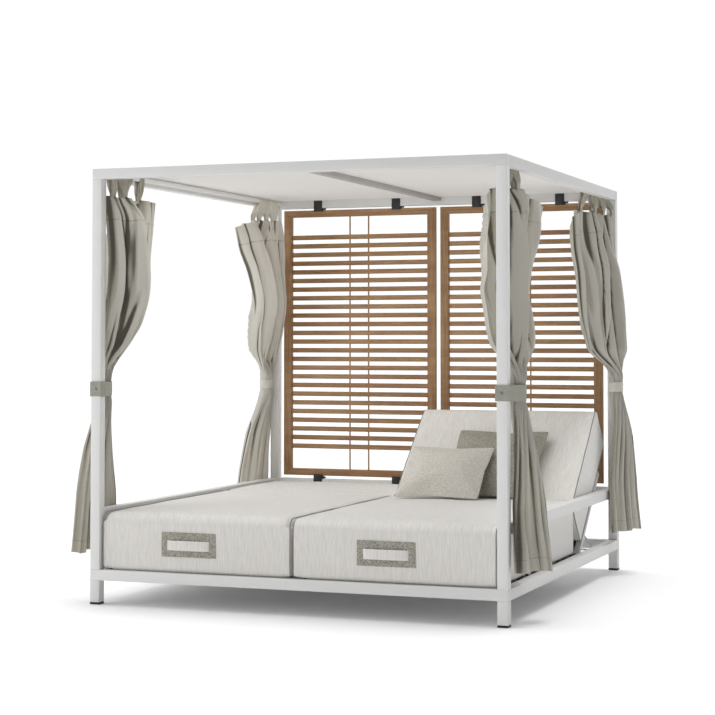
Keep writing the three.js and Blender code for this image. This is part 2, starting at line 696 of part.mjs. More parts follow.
// Clip: a plate on the tube's front, a web between tube and panel, a lip before the panel and a pin
function clipForm(tubeEdge, panelEdge, lap, lip) {
  const towardsTube = Math.sign(tubeEdge - panelEdge);
  const x = [-CLIP_WIDTH / 2, CLIP_WIDTH / 2];
  const plateFront = innerY - CLIP_THICKNESS;
  const onTube = [tubeEdge - towardsTube * EMBED, tubeEdge + towardsTube * lap];
  const plate = block(x, [plateFront, innerY], onTube);
  const web = block(x, [plateFront, panelY + PANEL_DEPTH / 2], [panelEdge, tubeEdge]);
  const lipFace = panelY - PANEL_DEPTH / 2;
  const onPanel = [panelEdge + towardsTube * EMBED, panelEdge - towardsTube * lip];
  const lipPlate = block(x, [plateFront, lipFace], onPanel);
  const [pinY, pinZ] = [plateFront + CLIP_PIN_DEPTH, (tubeEdge + panelEdge) / 2];
  const pinStart = [CLIP_WIDTH / 2 - EMBED, pinY, pinZ];
  const pinEnd = [pinStart[0] + CLIP_PIN_LENGTH, pinY, pinZ];
  const pin = rod(pinStart, pinEnd, CLIP_PIN_RADIUS, SMALL_SIDES);
  return joined([plate, web, lipPlate, pin]);
}

function addLouvres(parent) {
  for (const [side, sign] of Object.entries(SIDES)) {
    const panel = group(parent, sign * panelCentre, 0, 0);
    add(panel, `${side}_louvre_frame`, louvreFrame(), "teak");
    add(panel, `${side}_louvre_slats`, louvreSlats(), "teak");
    for (const [place, placeSign] of Object.entries(SIDES)) {
      const holder = group(panel, placeSign * CLIP_REACH - CLIP_SHIFT, 0, 0);
      const topClip = clipForm(roofUnderside, panelTop, TOP_CLIP_LAP, TOP_CLIP_LIP);
      add(holder, `${side}_panel_top_clip_${place}`, topClip, "plastic");
      const bottomClip = clipForm(ARM_RAIL_TOP, panelBottom, BOTTOM_CLIP_LAP, BOTTOM_CLIP_LIP);
      add(holder, `${side}_panel_bottom_clip_${place}`, bottomClip, "plastic");
    }
  }
}

// A tied curtain, built for the back right corner. A station gives the level, the middle, the half width
// along the rod, the half thickness, the depth of the folds and how round the gathered cloth is there.
const headerTop = FRAME_HEIGHT - HEADER_DROP;

function station(z, x, y, wide, thick, wave, round) {
  return { z, x, y, wide, thick, wave, round };
}

function curtainStations(run, waistInset, waistHeight, bandHeight) {
  const near = innerY - HEADER_POST_GAP;
  const headerY = near - run / 2;
  const spreadHalf = run * SPREAD_WIDTH_SHARE;
  const gatherHalf = WAIST_RADIUS + run * GATHER_WIDTH_SHARE;
  const waistX = outerX + WAIST_OFFSET;
  const waistY = innerY - waistInset;
  const gatherX = THREE.MathUtils.lerp(rodX, waistX, GATHER_PATH_SHARE);
  const spreadZ = headerTop - SPREAD_DROP;
  const gatherZ = FRONT_WAIST_HEIGHT + GATHER_RISE;
  const edgeX = outerX + SKIRT_RAIL_GAP;
  const hemY = outerY - SEAT_FRONT_INSET - HEM_HALF_WIDTH;
  const waistEnds = [waistHeight + bandHeight / 2, waistHeight - bandHeight / 2];
  const tied = waistEnds.map((z) => station(z, waistX, waistY, WAIST_RADIUS, WAIST_RADIUS, 0, 1));
  const skirtX = edgeX + SKIRT_HALF_THICKNESS;
  const hemX = edgeX + HEM_HALF_THICKNESS;
  return [
    station(headerTop, rodX, headerY, run / 2, HEADER_HALF_THICKNESS, HEADER_WAVE, 0),
    station(spreadZ, rodX, near - spreadHalf, spreadHalf, SPREAD_HALF_THICKNESS, SPREAD_WAVE, 0),
    station(gatherZ, gatherX, near - gatherHalf, gatherHalf, GATHER_HALF_THICKNESS, 0, 1),
    ...tied,
    station(ARM_RAIL_TOP, skirtX, (waistY + hemY) / 2, SKIRT_HALF_WIDTH, SKIRT_HALF_THICKNESS, 0, 1),
    station(HEM_HEIGHT, hemX, hemY, HEM_HALF_WIDTH, HEM_HALF_THICKNESS, 0, 1),
  ];
}

// Stations in between, eased so that the cloth leaves each station straight down
function easedStations(stations) {
  const rings = [stations[0]];
  for (let i = 1; i < stations.length; i += 1)
    for (let step = 1; step <= CURTAIN_STEPS; step += 1) {
      const share = step / CURTAIN_STEPS;
      const eased = share * share * (3 - 2 * share);
      const ring = {};
      for (const [key, value] of Object.entries(stations[i])) {
        const weight = key === "z" ? share : eased;
        ring[key] = THREE.MathUtils.lerp(stations[i - 1][key], value, weight);
      }
      rings.push(ring);
    }
  return rings;
}

// The outline runs along one face and back along the other: even steps where flat, an ellipse where round
function curtainPoint(ring, j) {
  const turn = (2 * Math.PI * j) / CURTAIN_POINTS;
  const even = 1 - 4 * Math.abs(j / CURTAIN_POINTS - 1 / 2);
  const half = CURTAIN_POINTS / 2;
  const face = j % half === 0 ? 0 : Math.sign(half - j);
  const lobes = 1 - (ring.round * LOBE_DEPTH_SHARE * (1 - Math.cos(LOBE_COUNT * turn))) / 2;
  const along = THREE.MathUtils.lerp(even, -Math.cos(turn), ring.round) * lobes;
  const across = THREE.MathUtils.lerp(face, Math.sin(turn), ring.round) * lobes;
  const wave = ring.wave * Math.sin(FOLD_COUNT * Math.PI * along);
  return [ring.x + across * ring.thick + wave, ring.y + along * ring.wide, ring.z];
}

// Triangles across an end of the curtain, from tip to tip of its outline
function endFaces(first) {
  const half = CURTAIN_POINTS / 2;
  const near = (j) => first + j;
  const far = (j) => first + ((CURTAIN_POINTS - j) % CURTAIN_POINTS);
  const faces = [[near(0), near(1), far(1)]];
  for (let j = 1; j < half - 1; j += 1)
    faces.push([near(j), near(j + 1), far(j)], [near(j + 1), far(j + 1), far(j)]);
  faces.push([near(half - 1), near(half), far(half - 1)]);
  return faces;
}

function curtainCloth(stations) {
  const rings = easedStations(stations);
  const places = rings.flatMap((ring) =>
    Array.from({ length: CURTAIN_POINTS }, (_, j) => curtainPoint(ring, j)),
  );
  const faces = endFaces(0);
  for (let i = 1; i < rings.length; i += 1)
    for (let j = 0; j < CURTAIN_POINTS; j += 1) {
      const next = (j + 1) % CURTAIN_POINTS;
      const [above, below] = [(i - 1) * CURTAIN_POINTS, i * CURTAIN_POINTS];
      faces.push([below + j, below + next, above + next], [below + j, above + next, above + j]);
    }
  const last = endFaces((rings.length - 1) * CURTAIN_POINTS);
  faces.push(...last.map(([a, b, c]) => [a, c, b]));
  const geometry = new THREE.BufferGeometry();
  geometry.setAttribute("position", new THREE.Float32BufferAttribute(places.flat(), 3));
  geometry.setIndex(faces.flat());
  return geometry;
}

// A tab is a band of cloth round the rod, sewn to the header
function curtainTab(y) {
  const inner = ROD_RADIUS + LOOSE_GAP;
  const outer = inner + TAB_THICKNESS;
  const along = [y - TAB_WIDTH / 2, y + TAB_WIDTH / 2];
  const band = block([rodX - outer, rodX + outer], along, [headerTop - TAB_FOOT, rodZ + outer]);
  const through = [along[0] - OVERRUN, along[1] + OVERRUN];
  return cutAway(band, [block([rodX - inner, rodX + inner], through, [headerTop + TAB_FOOT, rodZ + inner])]);
}

function curtainForm(run, waistInset, waistHeight, bandHeight) {
  const tabs = Array.from({ length: TAB_COUNT }, (_, k) => {
    const share = (k + 1 / 2) / TAB_COUNT;
    return curtainTab(innerY - HEADER_POST_GAP - share * run);
  });
  return joined([curtainCloth(curtainStations(run, waistInset, waistHeight, bandHeight)), ...tabs]);
}

// Tieback of a front curtain: a band round the post and the gathered cloth, with a button on the post
function tiebackHull(offset, height) {
  const waistX = outerX + WAIST_OFFSET;
  const waistY = innerY - FRONT_WAIST_INSET;
  const outline = [
    [innerX - offset, innerY - offset],
    [innerX - offset, outerY + offset],
    [outerX + offset, outerY + offset],
  ];
  for (let k = 0; k < ROUND_SIDES; k += 1) {
    const turn = (2 * Math.PI * (k + 1 / 2)) / ROUND_SIDES;
    const radius = (WAIST_RADIUS + offset) / Math.cos(Math.PI / ROUND_SIDES);
    outline.push([waistX + radius * Math.cos(turn), waistY + radius * Math.sin(turn)]);
  }
  const levels = [FRONT_WAIST_HEIGHT - height / 2, FRONT_WAIST_HEIGHT + height / 2];
  return new ConvexGeometry(levels.flatMap((z) => outline.map(([x, y]) => new THREE.Vector3(x, y, z))));
}

function tiebackForm() {
  const outer = tiebackHull(LOOSE_GAP + TIEBACK_THICKNESS, TIEBACK_HEIGHT);
  const band = cutAway(outer, [tiebackHull(LOOSE_GAP, TIEBACK_HEIGHT + OVERRUN)]);
  const x = (innerX + outerX) / 2;
  const face = outerY + LOOSE_GAP + TIEBACK_THICKNESS;
  const start = [x, face - EMBED, FRONT_WAIST_HEIGHT];
  const end = [x, face + BUTTON_HEIGHT, FRONT_WAIST_HEIGHT];
  return joined([band, rod(start, end, BUTTON_RADIUS, SMALL_SIDES)]);
}

// The band of a back curtain goes round the cloth alone
function backBand() {
  const [x, y] = [outerX + WAIST_OFFSET, innerY - BACK_WAIST_INSET];
  const ends = [BACK_WAIST_HEIGHT - BACK_TIEBACK_HEIGHT / 2, BACK_WAIST_HEIGHT + BACK_TIEBACK_HEIGHT / 2];
  return rod([x, y, ends[0]], [x, y, ends[1]], WAIST_RADIUS + TIEBACK_THICKNESS, ROUND_SIDES);
}

function addCurtains(parent) {
  const frontTie = [FRONT_WAIST_INSET, FRONT_WAIST_HEIGHT, TIEBACK_HEIGHT];
  const backTie = [BACK_WAIST_INSET, BACK_WAIST_HEIGHT, BACK_TIEBACK_HEIGHT];
  for (const [side, sign] of Object.entries(SIDES)) {
    const front = curtainForm(HEADER_RUNS[`${side}_front`], ...frontTie);
    add(parent, `${side}_front_curtain`, mirrored(front, sign, ENDS.front), "curtain");
    add(parent, `${side}_front_tieback`, mirrored(tiebackForm(), sign, ENDS.front), "curtain");
    const back = curtainForm(HEADER_RUNS[`${side}_back`], ...backTie);
    add(parent, `${side}_back_curtain`, mirrored(joined([back, backBand()]), sign, ENDS.back), "curtain");
  }
}

// The origin is on the floor in the middle of the outline, tieback buttons included
const tiebackOverhang = LOOSE_GAP + TIEBACK_THICKNESS + BUTTON_HEIGHT;
const daybed = new THREE.Group();
const frame = group(daybed, 0, tiebackOverhang / 2, 0);
addBaseRing(frame);
addCorners(frame);
addRails(frame);
addRoof(frame);
addBed(frame, "left", 0);
addPillows(addBed(frame, "right", radians(BACKREST_ANGLE)));
addLouvres(frame);
addCurtains(frame);

export default daybed;
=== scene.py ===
# %% [markdown]
# # An outdoor daybed with a canopy
# Two beds lie side by side in a frame of square metal tube with a cloth roof. Four curtains are tied back at the
# posts, two louvred wooden panels close the back, and the right backrest is raised with two pillows on it.
# The measured model comes first, as a fixed frame. Everything made here sits where that model says.

# %% Load the measured model
import json
import math

import bpy
import numpy as np
from mathutils import Matrix, Vector, noise


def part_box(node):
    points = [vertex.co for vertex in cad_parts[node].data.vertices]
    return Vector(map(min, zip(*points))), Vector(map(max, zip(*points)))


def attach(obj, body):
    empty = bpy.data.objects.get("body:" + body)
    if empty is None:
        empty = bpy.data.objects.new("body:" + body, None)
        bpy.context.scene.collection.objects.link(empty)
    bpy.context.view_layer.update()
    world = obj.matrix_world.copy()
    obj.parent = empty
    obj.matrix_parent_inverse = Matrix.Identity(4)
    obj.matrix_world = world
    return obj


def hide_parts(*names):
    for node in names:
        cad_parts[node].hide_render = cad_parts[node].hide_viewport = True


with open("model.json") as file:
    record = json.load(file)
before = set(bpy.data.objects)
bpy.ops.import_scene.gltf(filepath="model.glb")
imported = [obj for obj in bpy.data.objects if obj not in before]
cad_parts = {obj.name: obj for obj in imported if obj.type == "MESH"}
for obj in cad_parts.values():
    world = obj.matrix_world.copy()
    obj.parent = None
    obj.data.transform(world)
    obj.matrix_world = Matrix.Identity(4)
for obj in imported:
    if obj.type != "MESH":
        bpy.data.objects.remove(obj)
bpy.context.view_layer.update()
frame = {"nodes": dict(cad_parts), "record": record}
body_of = {node: body for body, nodes in frame["record"]["behaviour"]["bodies"].items() for node in nodes}
SIDES = {"left": -1, "right": 1}
ENDS = {"front": -1, "back": 1}

# %% [markdown]
# ## Camera
# The camera stands to the right of the bed at about a seated person's height, far away with a long lens, so the
# uprights stay nearly parallel. A small downward shift of the lens frames the bed without tilting the posts.

# %% Place the camera
lens = bpy.data.cameras.new("camera")
lens.sensor_width = 36
lens.lens = 91.64
lens.shift_y = -0.13
camera = bpy.data.objects.new("camera", lens)
bpy.context.collection.objects.link(camera)
camera.location = (3.2698, -8.8400, 1.2546)
camera.rotation_euler = (math.pi / 2 + 0.04223, 0, 0.36283)
bpy.context.scene.camera = camera
print("Lens:", lens.lens, "mm, height:", round(camera.location.z, 2), "m")

# %% [markdown]
# ## Small helpers for modelling
# Operators act on whatever is selected, so everything is deselected before a new piece is added. Each finished
# piece keeps its place in its mesh, so its object stays at the origin without turn or scale.

# %% Select, start and settle a piece
def deselect():
    if bpy.context.object and bpy.context.object.mode != "OBJECT":
        bpy.ops.object.mode_set(mode="OBJECT")
    bpy.ops.object.select_all(action="DESELECT")


def only(piece):
    deselect()
    piece.select_set(True)
    bpy.context.view_layer.objects.active = piece
    return piece


def started(name):
    """The primitive that was just added, under its own name."""
    piece = bpy.context.object
    piece.name = name
    piece.data.name = name
    return piece


def linked(name, data):
    """A new object for data that is there already."""
    piece = bpy.data.objects.new(name, data)
    bpy.context.collection.objects.link(piece)
    return piece


def settled(piece):
    only(piece)
    bpy.ops.object.transform_apply(location=True, rotation=True, scale=True)
    return piece


# %% Read and move points, and run operators on a whole piece
def points(piece):
    found = np.zeros(len(piece.data.vertices) * 3)
    piece.data.vertices.foreach_get("co", found)
    return found.reshape(-1, 3)


def move_points(piece, places):
    piece.data.vertices.foreach_set("co", np.asarray(places, float).ravel())
    piece.data.update()
    return piece


def edited(piece, *steps):
    """Runs edit mode operators on the whole piece."""
    only(piece)
    bpy.ops.object.mode_set(mode="EDIT")
    for step in steps:
        bpy.ops.mesh.select_all(action="SELECT")
        step()
    bpy.ops.object.mode_set(mode="OBJECT")
    return piece


def outward(piece):
    return edited(piece, lambda: bpy.ops.mesh.normals_make_consistent(inside=False))


# %% Apply modifiers, join and smooth
def modified(piece, kind, **settings):
    """Adds one modifier and applies it."""
    only(piece)
    modifier = piece.modifiers.new(kind.lower(), kind)
    for name, value in settings.items():
        setattr(modifier, name, value)
    bpy.ops.object.modifier_apply(modifier=modifier.name)
    return piece


def bevelled(piece, width, segments, angle=50):
    """Rounds the edges that are sharper than an angle."""
    limit = {"limit_method": "ANGLE", "angle_limit": math.radians(angle)}
    return modified(piece, "BEVEL", width=width, segments=segments, **limit)


def smooth(piece, angle=40):
    only(piece)
    bpy.ops.object.shade_smooth_by_angle(angle=math.radians(angle))
    return piece


def joined(name, pieces):
    deselect()
    for piece in pieces:
        piece.select_set(True)
    bpy.context.view_layer.objects.active = pieces[0]
    bpy.ops.object.join()
    return started(name)


# %% Two ways to start a piece and one to finish it
def block(name, low, high):
    """A box between two corners."""
    deselect()
    bpy.ops.mesh.primitive_cube_add(size=1, location=(low + high) / 2)
    piece = started(name)
    piece.scale = high - low
    return settled(piece)


def grid(name, columns, rows):
    """A flat square grid of side 1 and its points, which each sheet moves to its own shape."""
    deselect()
    bpy.ops.mesh.primitive_grid_add(x_subdivisions=columns, y_subdivisions=rows, size=1)
    piece = started(name)
    return piece, points(piece)


def finished(piece, finish, slot, body, *nodes):
    """Gives a piece its finish and the body that it rides on, and hides the nodes that it stands for."""
    piece.data.materials.clear()
    piece.data.materials.append(finish)
    if nodes:
        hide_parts(*nodes)
    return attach(piece, body)


print("Helpers are ready for", len(frame["nodes"]), "nodes")

# %% [markdown]
# ## Shader maths as plain sums
# A finish is a handful of nodes. The small class below wraps a socket, so a sum such as 1 - mask adds the Math
# node for it. Colours are blended with a Mix node, since a Math node would turn them grey.

# %% A socket that works like a number
class Value:
    def __init__(self, nodes, socket):
        self.nodes = nodes
        self.socket = socket

    def sum_of(self, operation, first, second=0.0):
        return self.nodes.node("ShaderNodeMath", {"operation": operation}, {0: first, 1: second})

    def __add__(self, other):
        return self.sum_of("ADD", self, other)

    def __radd__(self, other):
        return self.sum_of("ADD", other, self)

    def __sub__(self, other):
        return self.sum_of("SUBTRACT", self, other)

    def __rsub__(self, other):
        return self.sum_of("SUBTRACT", other, self)

    def __mul__(self, other):
        return self.sum_of("MULTIPLY", self, other)

    def __abs__(self):
        return self.sum_of("ABSOLUTE", self)

    def sine(self):
        return self.sum_of("SINE", self)

    def part(self, name):
        """Another output of the same node."""
        return Value(self.nodes, self.socket.node.outputs[name])


# %% One method that adds any other node
class Nodes:
    def __init__(self, tree):
        self.tree = tree

    def node(self, kind, settings=None, sockets=None, out=0):
        """A node of a kind, with its settings first and then what goes into its sockets."""
        made = self.tree.nodes.new(kind)
        for name, value in (settings or {}).items():
            setattr(made, name, value)
        for name, value in (sockets or {}).items():
            if isinstance(value, Value):
                self.tree.links.new(value.socket, made.inputs[name])
            else:
                made.inputs[name].default_value = value
        return Value(self, made.outputs[out])


# %% A finish, with the few nodes that all of them share
class Finish(Nodes):
    def __init__(self, name, **constants):
        self.material = bpy.data.materials.new(name)
        self.material.use_nodes = True
        super().__init__(self.material.node_tree)
        self.shader = self.tree.nodes["Principled BSDF"]
        for socket, value in constants.items():
            self.shader.inputs[socket.replace("_", " ")].default_value = value

    def place(self, scale=(1, 1, 1), turn=(0, 0, 0), source="Object"):
        """Coordinates on the piece, in metres, scaled and turned."""
        found = self.node("ShaderNodeTexCoord", out=source)
        return self.node("ShaderNodeMapping", {}, {"Vector": found, "Rotation": turn, "Scale": scale})

    def split(self, value, axis):
        """One part of a place or of a direction."""
        return self.node("ShaderNodeSeparateXYZ", {}, {0: value}, axis)

    def facing(self, axis):
        """How much the surface faces along an axis."""
        return self.split(self.node("ShaderNodeNewGeometry", out="Normal"), axis)

    def cloudy(self, place, scale=1.0, detail=3.0, rough=0.55):
        sockets = {"Vector": place, "Scale": scale, "Detail": detail, "Roughness": rough}
        return self.node("ShaderNodeTexNoise", {}, sockets)

    def between(self, value, low, high):
        """0 below low, 1 above high and smooth between them."""
        ends = {"Value": value, "From Min": low, "From Max": high}
        return self.node("ShaderNodeMapRange", {"interpolation_type": "SMOOTHSTEP"}, ends)

    def blend(self, share, first, second):
        return self.node("ShaderNodeMix", {"data_type": "RGBA"}, {0: share, 6: first, 7: second}, 2)

    def feed(self, socket, value):
        self.tree.links.new(value.socket, self.shader.inputs[socket])

    def coat(self, colour, rough, height, distance, strength=1.0):
        """Feeds the colour, the roughness and a bump, and hands over the material."""
        bump = {"Height": height, "Distance": distance, "Strength": strength}
        self.feed("Base Color", colour)
        self.feed("Roughness", rough)
        self.feed("Normal", self.node("ShaderNodeBump", {}, bump))
        return self.material


# %% Colours as seen on a screen
def rgb(red, green, blue):
    """From 0 to 255 on the screen to the linear colour that a shader wants."""
    linear = [((c / 255 + 0.055) / 1.055) ** 2.4 if c > 10 else c / 3294 for c in (red, green, blue)]
    return (*linear, 1.0)


print("Mid grey:", round(rgb(128, 128, 128)[0], 3))

# %% [markdown]
# ## Light
# The photograph has a white studio behind the bed and at its left, and less light from the camera's side, so tops
# are brighter than fronts. The surroundings get that from a strength that grows with the direction. A soft sun
# stands overhead and a large lamp at the front left, and a weak lamp under the roof brightens the beds.

# %% Surroundings that are brighter behind and at the left
scene = bpy.context.scene
scene.view_settings.view_transform = "Standard"
WINDOWS = (-math.sin(0.95), math.cos(0.95), 0)
DIM, BRIGHT = 0.14, 1.03


def studio_world():
    world = bpy.data.worlds.new("studio")
    world.use_nodes = True
    studio = Nodes(world.node_tree)
    direction = studio.node("ShaderNodeTexCoord", out="Generated")
    ahead = studio.node("ShaderNodeVectorMath", {"operation": "DOT_PRODUCT"}, {0: direction, 1: WINDOWS}, "Value")
    ends = {"Value": ahead, "From Min": -0.75, "From Max": 0.40, "To Min": DIM, "To Max": BRIGHT}
    strength = studio.node("ShaderNodeMapRange", {"interpolation_type": "SMOOTHSTEP"}, ends)
    background = studio.tree.nodes["Background"]
    background.inputs["Color"].default_value = (1, 1, 1, 1)
    studio.tree.links.new(strength.socket, background.inputs["Strength"])
    return world


scene.world = studio_world()
print("Surroundings from", DIM, "to", BRIGHT)


# %% A sun and two soft lamps
def lamp(name, kind, power, **settings):
    light = bpy.data.lights.new(name, kind)
    light.energy = power
    for setting, value in settings.items():
        setattr(light, setting, value)
    return linked(name, light)


def soft_box(name, power, size, at, aim):
    box = lamp(name, "AREA", power, size=size)
    box.location = at
    box.rotation_euler = (Vector(aim) - Vector(at)).to_track_quat("-Z", "Y").to_euler()
    box.visible_camera = False
    return box


overhead = lamp("overhead", "SUN", 1.35, angle=math.radians(28))
overhead.rotation_euler = (math.radians(-8), 0, math.radians(-40))
soft_box("front_left", 32, 2.2, (-4.4, -4.0, 2.2), (-0.6, -0.2, 0.8))
soft_box("under_roof", 7.2, 1.5, (-0.05, -0.40, 1.95), (-0.05, -0.45, 0.4))
print("Lamps:", len(bpy.data.lights))

# %% [markdown]
# ## Metal and plastic
# The tubes are powder coated: a very fine, slightly uneven grain with a satin shine. The plastic feet and clips
# are black and a little rougher. Both need only noise at two sizes, one for colour and one for the bump.

# %% Powder coat, aluminium and black plastic
GRAIN_HEIGHT = 0.00012


def coated_metal(name, light, dark, shine):
    finish = Finish(name, Metallic=0.0, IOR=1.5)
    soft = finish.cloudy(finish.place(), 6, 4)
    grain = finish.cloudy(finish.place(), 700, 2)
    colour = finish.blend(soft * 0.7 + grain * 0.3, dark, light)
    return finish.coat(colour, shine + soft * 0.12 + grain * 0.08, grain, GRAIN_HEIGHT, 0.5)


powder_coat = coated_metal("powder_coat", rgb(233, 233, 231), rgb(226, 226, 224), 0.40)
# The roof beams have the same powder coat as the posts, darkened a little: painted shade.
painted_shade_roof_coat = coated_metal("painted_shade_roof_coat", rgb(222, 222, 220), rgb(214, 214, 212), 0.42)
# The cross bar's coat is the powder coat darkened further: painted shade under the roof.
painted_shade_bar_coat = coated_metal("painted_shade_bar_coat", rgb(172, 169, 165), rgb(164, 161, 157), 0.45)
support_coat = coated_metal("support_coat", rgb(222, 222, 221), rgb(208, 208, 207), 0.34)
black_plastic = coated_metal("black_plastic", rgb(44, 44, 45), rgb(28, 28, 29), 0.40)
print("Coats:", [material.name for material in bpy.data.materials])


# %% Slats with plastic caps, and the press studs
BED_MIDDLE, CAPS_FROM = 0.50625, 0.4635


def deck_coat():
    """The same coat, with the black plastic caps that close the ends of the slats."""
    finish = Finish("deck_coat", Metallic=0.0)
    across = abs(finish.split(finish.place(), "X"))
    caps = finish.between(abs(across - BED_MIDDLE), CAPS_FROM, CAPS_FROM + 0.0005)
    grain = finish.cloudy(finish.place(), 700, 2)
    metal = finish.blend(grain, rgb(208, 208, 207), rgb(218, 218, 217))
    colour = finish.blend(caps, metal, rgb(26, 26, 27))
    return finish.coat(colour, 0.36 + caps * 0.15 + grain * 0.06, grain, GRAIN_HEIGHT, 0.5)


def snap_metal():
    finish = Finish("snap_metal", Metallic=1.0)
    grain = finish.cloudy(finish.place(), 900, 2)
    colour = finish.blend(grain, rgb(120, 119, 112), rgb(160, 158, 150))
    return finish.coat(colour, 0.25 + grain * 0.2, grain, 0.00005)


slat_coat = deck_coat()
button_metal = snap_metal()
print("Metal and plastic finishes:", len(bpy.data.materials))


# %% [markdown]
# ## Teak
# Wood grain is noise that is stretched along the board. Boards that stand upright and boards that lie level have
# their grain in different directions, so teak comes in two finishes. Fine dark pores and a slow change of tone
# from board to board keep it from looking printed, and faces that look down get a painted shade.

# %% Teak for upright and for level boards
def teak(name, along, aged):
    finish = Finish(name, Metallic=0.0, IOR=1.45)
    stretch = (5, 90, 90) if along == "X" else (90, 90, 5)
    pores = (40, 900, 900) if along == "X" else (900, 900, 40)
    bands = finish.cloudy(finish.place(stretch), 1, 5, 0.6)
    fine = finish.cloudy(finish.place(pores), 1, 2, 0.5)
    tone = finish.cloudy(finish.place((0.7, 9, 22)), 1, 1)
    grain = finish.between(bands * 0.75 + fine * 0.25, 0.32, 0.68)
    wood = finish.blend(grain, rgb(148, 112, 76), rgb(186, 150, 108))
    wood = finish.blend(finish.between(tone, 0.35, 0.7) * 0.45, wood, rgb(140, 96, 62))
    wood = finish.blend(finish.between(fine, 0.66, 0.8) * 0.35, wood, rgb(96, 62, 38))
    # Faces that look down are darkened: painted shade.
    down = 0 - finish.facing("Z")
    wood = finish.blend(finish.between(down, 0.15, 0.8) * 0.75, wood, rgb(72, 46, 28))
    wood = finish.blend(aged, wood, rgb(104, 76, 50))
    return finish.coat(wood, 0.48 + grain * 0.14, grain * 0.4 + fine * 0.6, 0.0004, 0.6)


teak_level = teak("teak_level", "X", 0.05)
teak_upright = teak("teak_upright", "Z", 0.22)
print("Teak:", teak_level.name, teak_upright.name)


# %% [markdown]
# ## Cloths
# The cushions have a pale cloth with fine slub lines that run with the piece, the curtains a heathered satin, the
# patches a coarse mixed weave and the pillows two knobbly ones. Weave is a bump of crossed threads, and mixed
# yarn is colour noise that is drawn out along the thread.

# %% Cushion cloth with slub lines
CUSHION_MIDDLE, SEAM_AWAY = 0.493, 0.485


def cushion_cloth(name, light, dark):
    finish = Finish(name, Metallic=0.0, IOR=1.3, Sheen_Weight=0.7, Sheen_Roughness=0.6)
    side = finish.between(abs(finish.facing("X")), 0.55, 0.85)
    over = finish.cloudy(finish.place((700, 15, 15)), 1, 3, 0.6)
    round_it = finish.cloudy(finish.place((10, 700, 34)), 1, 3, 0.6)
    slubs = over * (1 - side) + round_it * side
    threads = finish.cloudy(finish.place(), 1500, 2)
    cloud = finish.cloudy(finish.place(), 5, 3)
    tint = finish.between(slubs * 0.7 + threads * 0.3, 0.38, 0.60)
    cloth = finish.blend(tint, dark, light)
    cloth = finish.blend(cloud * 0.12, cloth, dark)
    # Faces that stand upright are darkened towards grey: painted shade, so the tops read lighter than the fronts.
    upright = 1 - finish.between(finish.facing("Z"), 0.1, 0.75)
    cloth = finish.blend(upright * 0.26, cloth, rgb(178, 175, 168))
    seam = abs(abs(abs(finish.split(finish.place(), "X")) - CUSHION_MIDDLE) - SEAM_AWAY)
    near_seam = 1 - finish.between(seam, 0.004, 0.045)
    puckers = finish.cloudy(finish.place((12, 70, 70)), 1, 2) * near_seam
    height = slubs * 0.25 + threads * 0.15 + puckers * 1.6
    return finish.coat(cloth, 0.82 + threads * 0.12, height, 0.0014, 0.8)


cushion_fabric = cushion_cloth("cushion_fabric", rgb(254, 252, 248), rgb(226, 222, 215))
# The piping is the cushion cloth made darker: painted shade along the seams.
piping_painted_shade_fabric = cushion_cloth("piping_painted_shade_fabric", rgb(140, 137, 130), rgb(110, 107, 100))
print("Cushion cloths:", cushion_fabric.name, piping_painted_shade_fabric.name)


# %% Curtain cloth on its own cut
WEAVE_CUT = (1.5, 1.80)
SEAMS, HEADER_BAND, HEM_BAND = (0.118, 0.122, 1.740), (0.118, 0.122), (1.738, 1.742)
TIE_LEVEL = 0.92


def curtain_cloth(name, dark, light, tie_shade_share):
    """The cut of the cloth gives the directions: X across it and Y down it, both in metres."""
    finish = Finish(name, Metallic=0.0, IOR=1.4, Sheen_Weight=0.25, Sheen_Roughness=0.4)
    cut = finish.place((*WEAVE_CUT, 1), source="UV")
    threads = finish.cloudy(finish.node("ShaderNodeMapping", {}, {0: cut, "Scale": (420, 60, 1)}), 1, 3, 0.6)
    weft = finish.cloudy(finish.node("ShaderNodeMapping", {}, {0: cut, "Scale": (70, 500, 1)}), 1, 2, 0.6)
    level = WEAVE_CUT[1] - finish.split(cut, "Y")
    cloth = finish.blend(finish.between(threads * 0.6 + weft * 0.4, 0.36, 0.62), dark, light)
    # Painted shade on the cloth near the tie, where it is gathered.
    tie_shade_mask = 1 - finish.between(abs(level - TIE_LEVEL), 0.05, 0.42)
    cloth = finish.blend(tie_shade_mask * tie_shade_share, cloth, rgb(112, 108, 96))
    lines = 0
    for seam in SEAMS:
        lines = lines + (1 - finish.between(abs(level - seam), 0.0008, 0.0030))
    hem = finish.between(level, *HEM_BAND) + 1 - finish.between(level, *HEADER_BAND)
    cloth = finish.blend(lines * 0.50, cloth, rgb(88, 85, 74))
    deep = finish.node("ShaderNodeAttribute", {"attribute_name": "painted_fold_shade"}, out="Fac")
    # From the stored fold shade: painted shade in the folds and a painted highlight on the ridges.
    cloth = finish.blend(finish.between(deep, 0.02, 0.9) * 0.93, cloth, rgb(48, 44, 36))
    cloth = finish.blend(finish.between(0 - deep, 0.05, 0.9) * 0.55, cloth, rgb(240, 237, 228))
    height = threads * 0.12 + weft * 0.12 + hem * 0.5 - lines * 0.8
    return finish.coat(cloth, 0.46 + weft * 0.12, height, 0.0012, 0.7)


curtain_fabric = curtain_cloth("curtain_fabric", rgb(170, 166, 152), rgb(201, 197, 183), 0.28)
# A lighter copy of the curtain cloth, with less shade at the tie: painted light.
painted_light_curtain_fabric = curtain_cloth("painted_light_curtain_fabric", rgb(228, 224, 213), rgb(248, 245, 236), 0.12)
print("Curtain cloths:", curtain_fabric.name, painted_light_curtain_fabric.name)


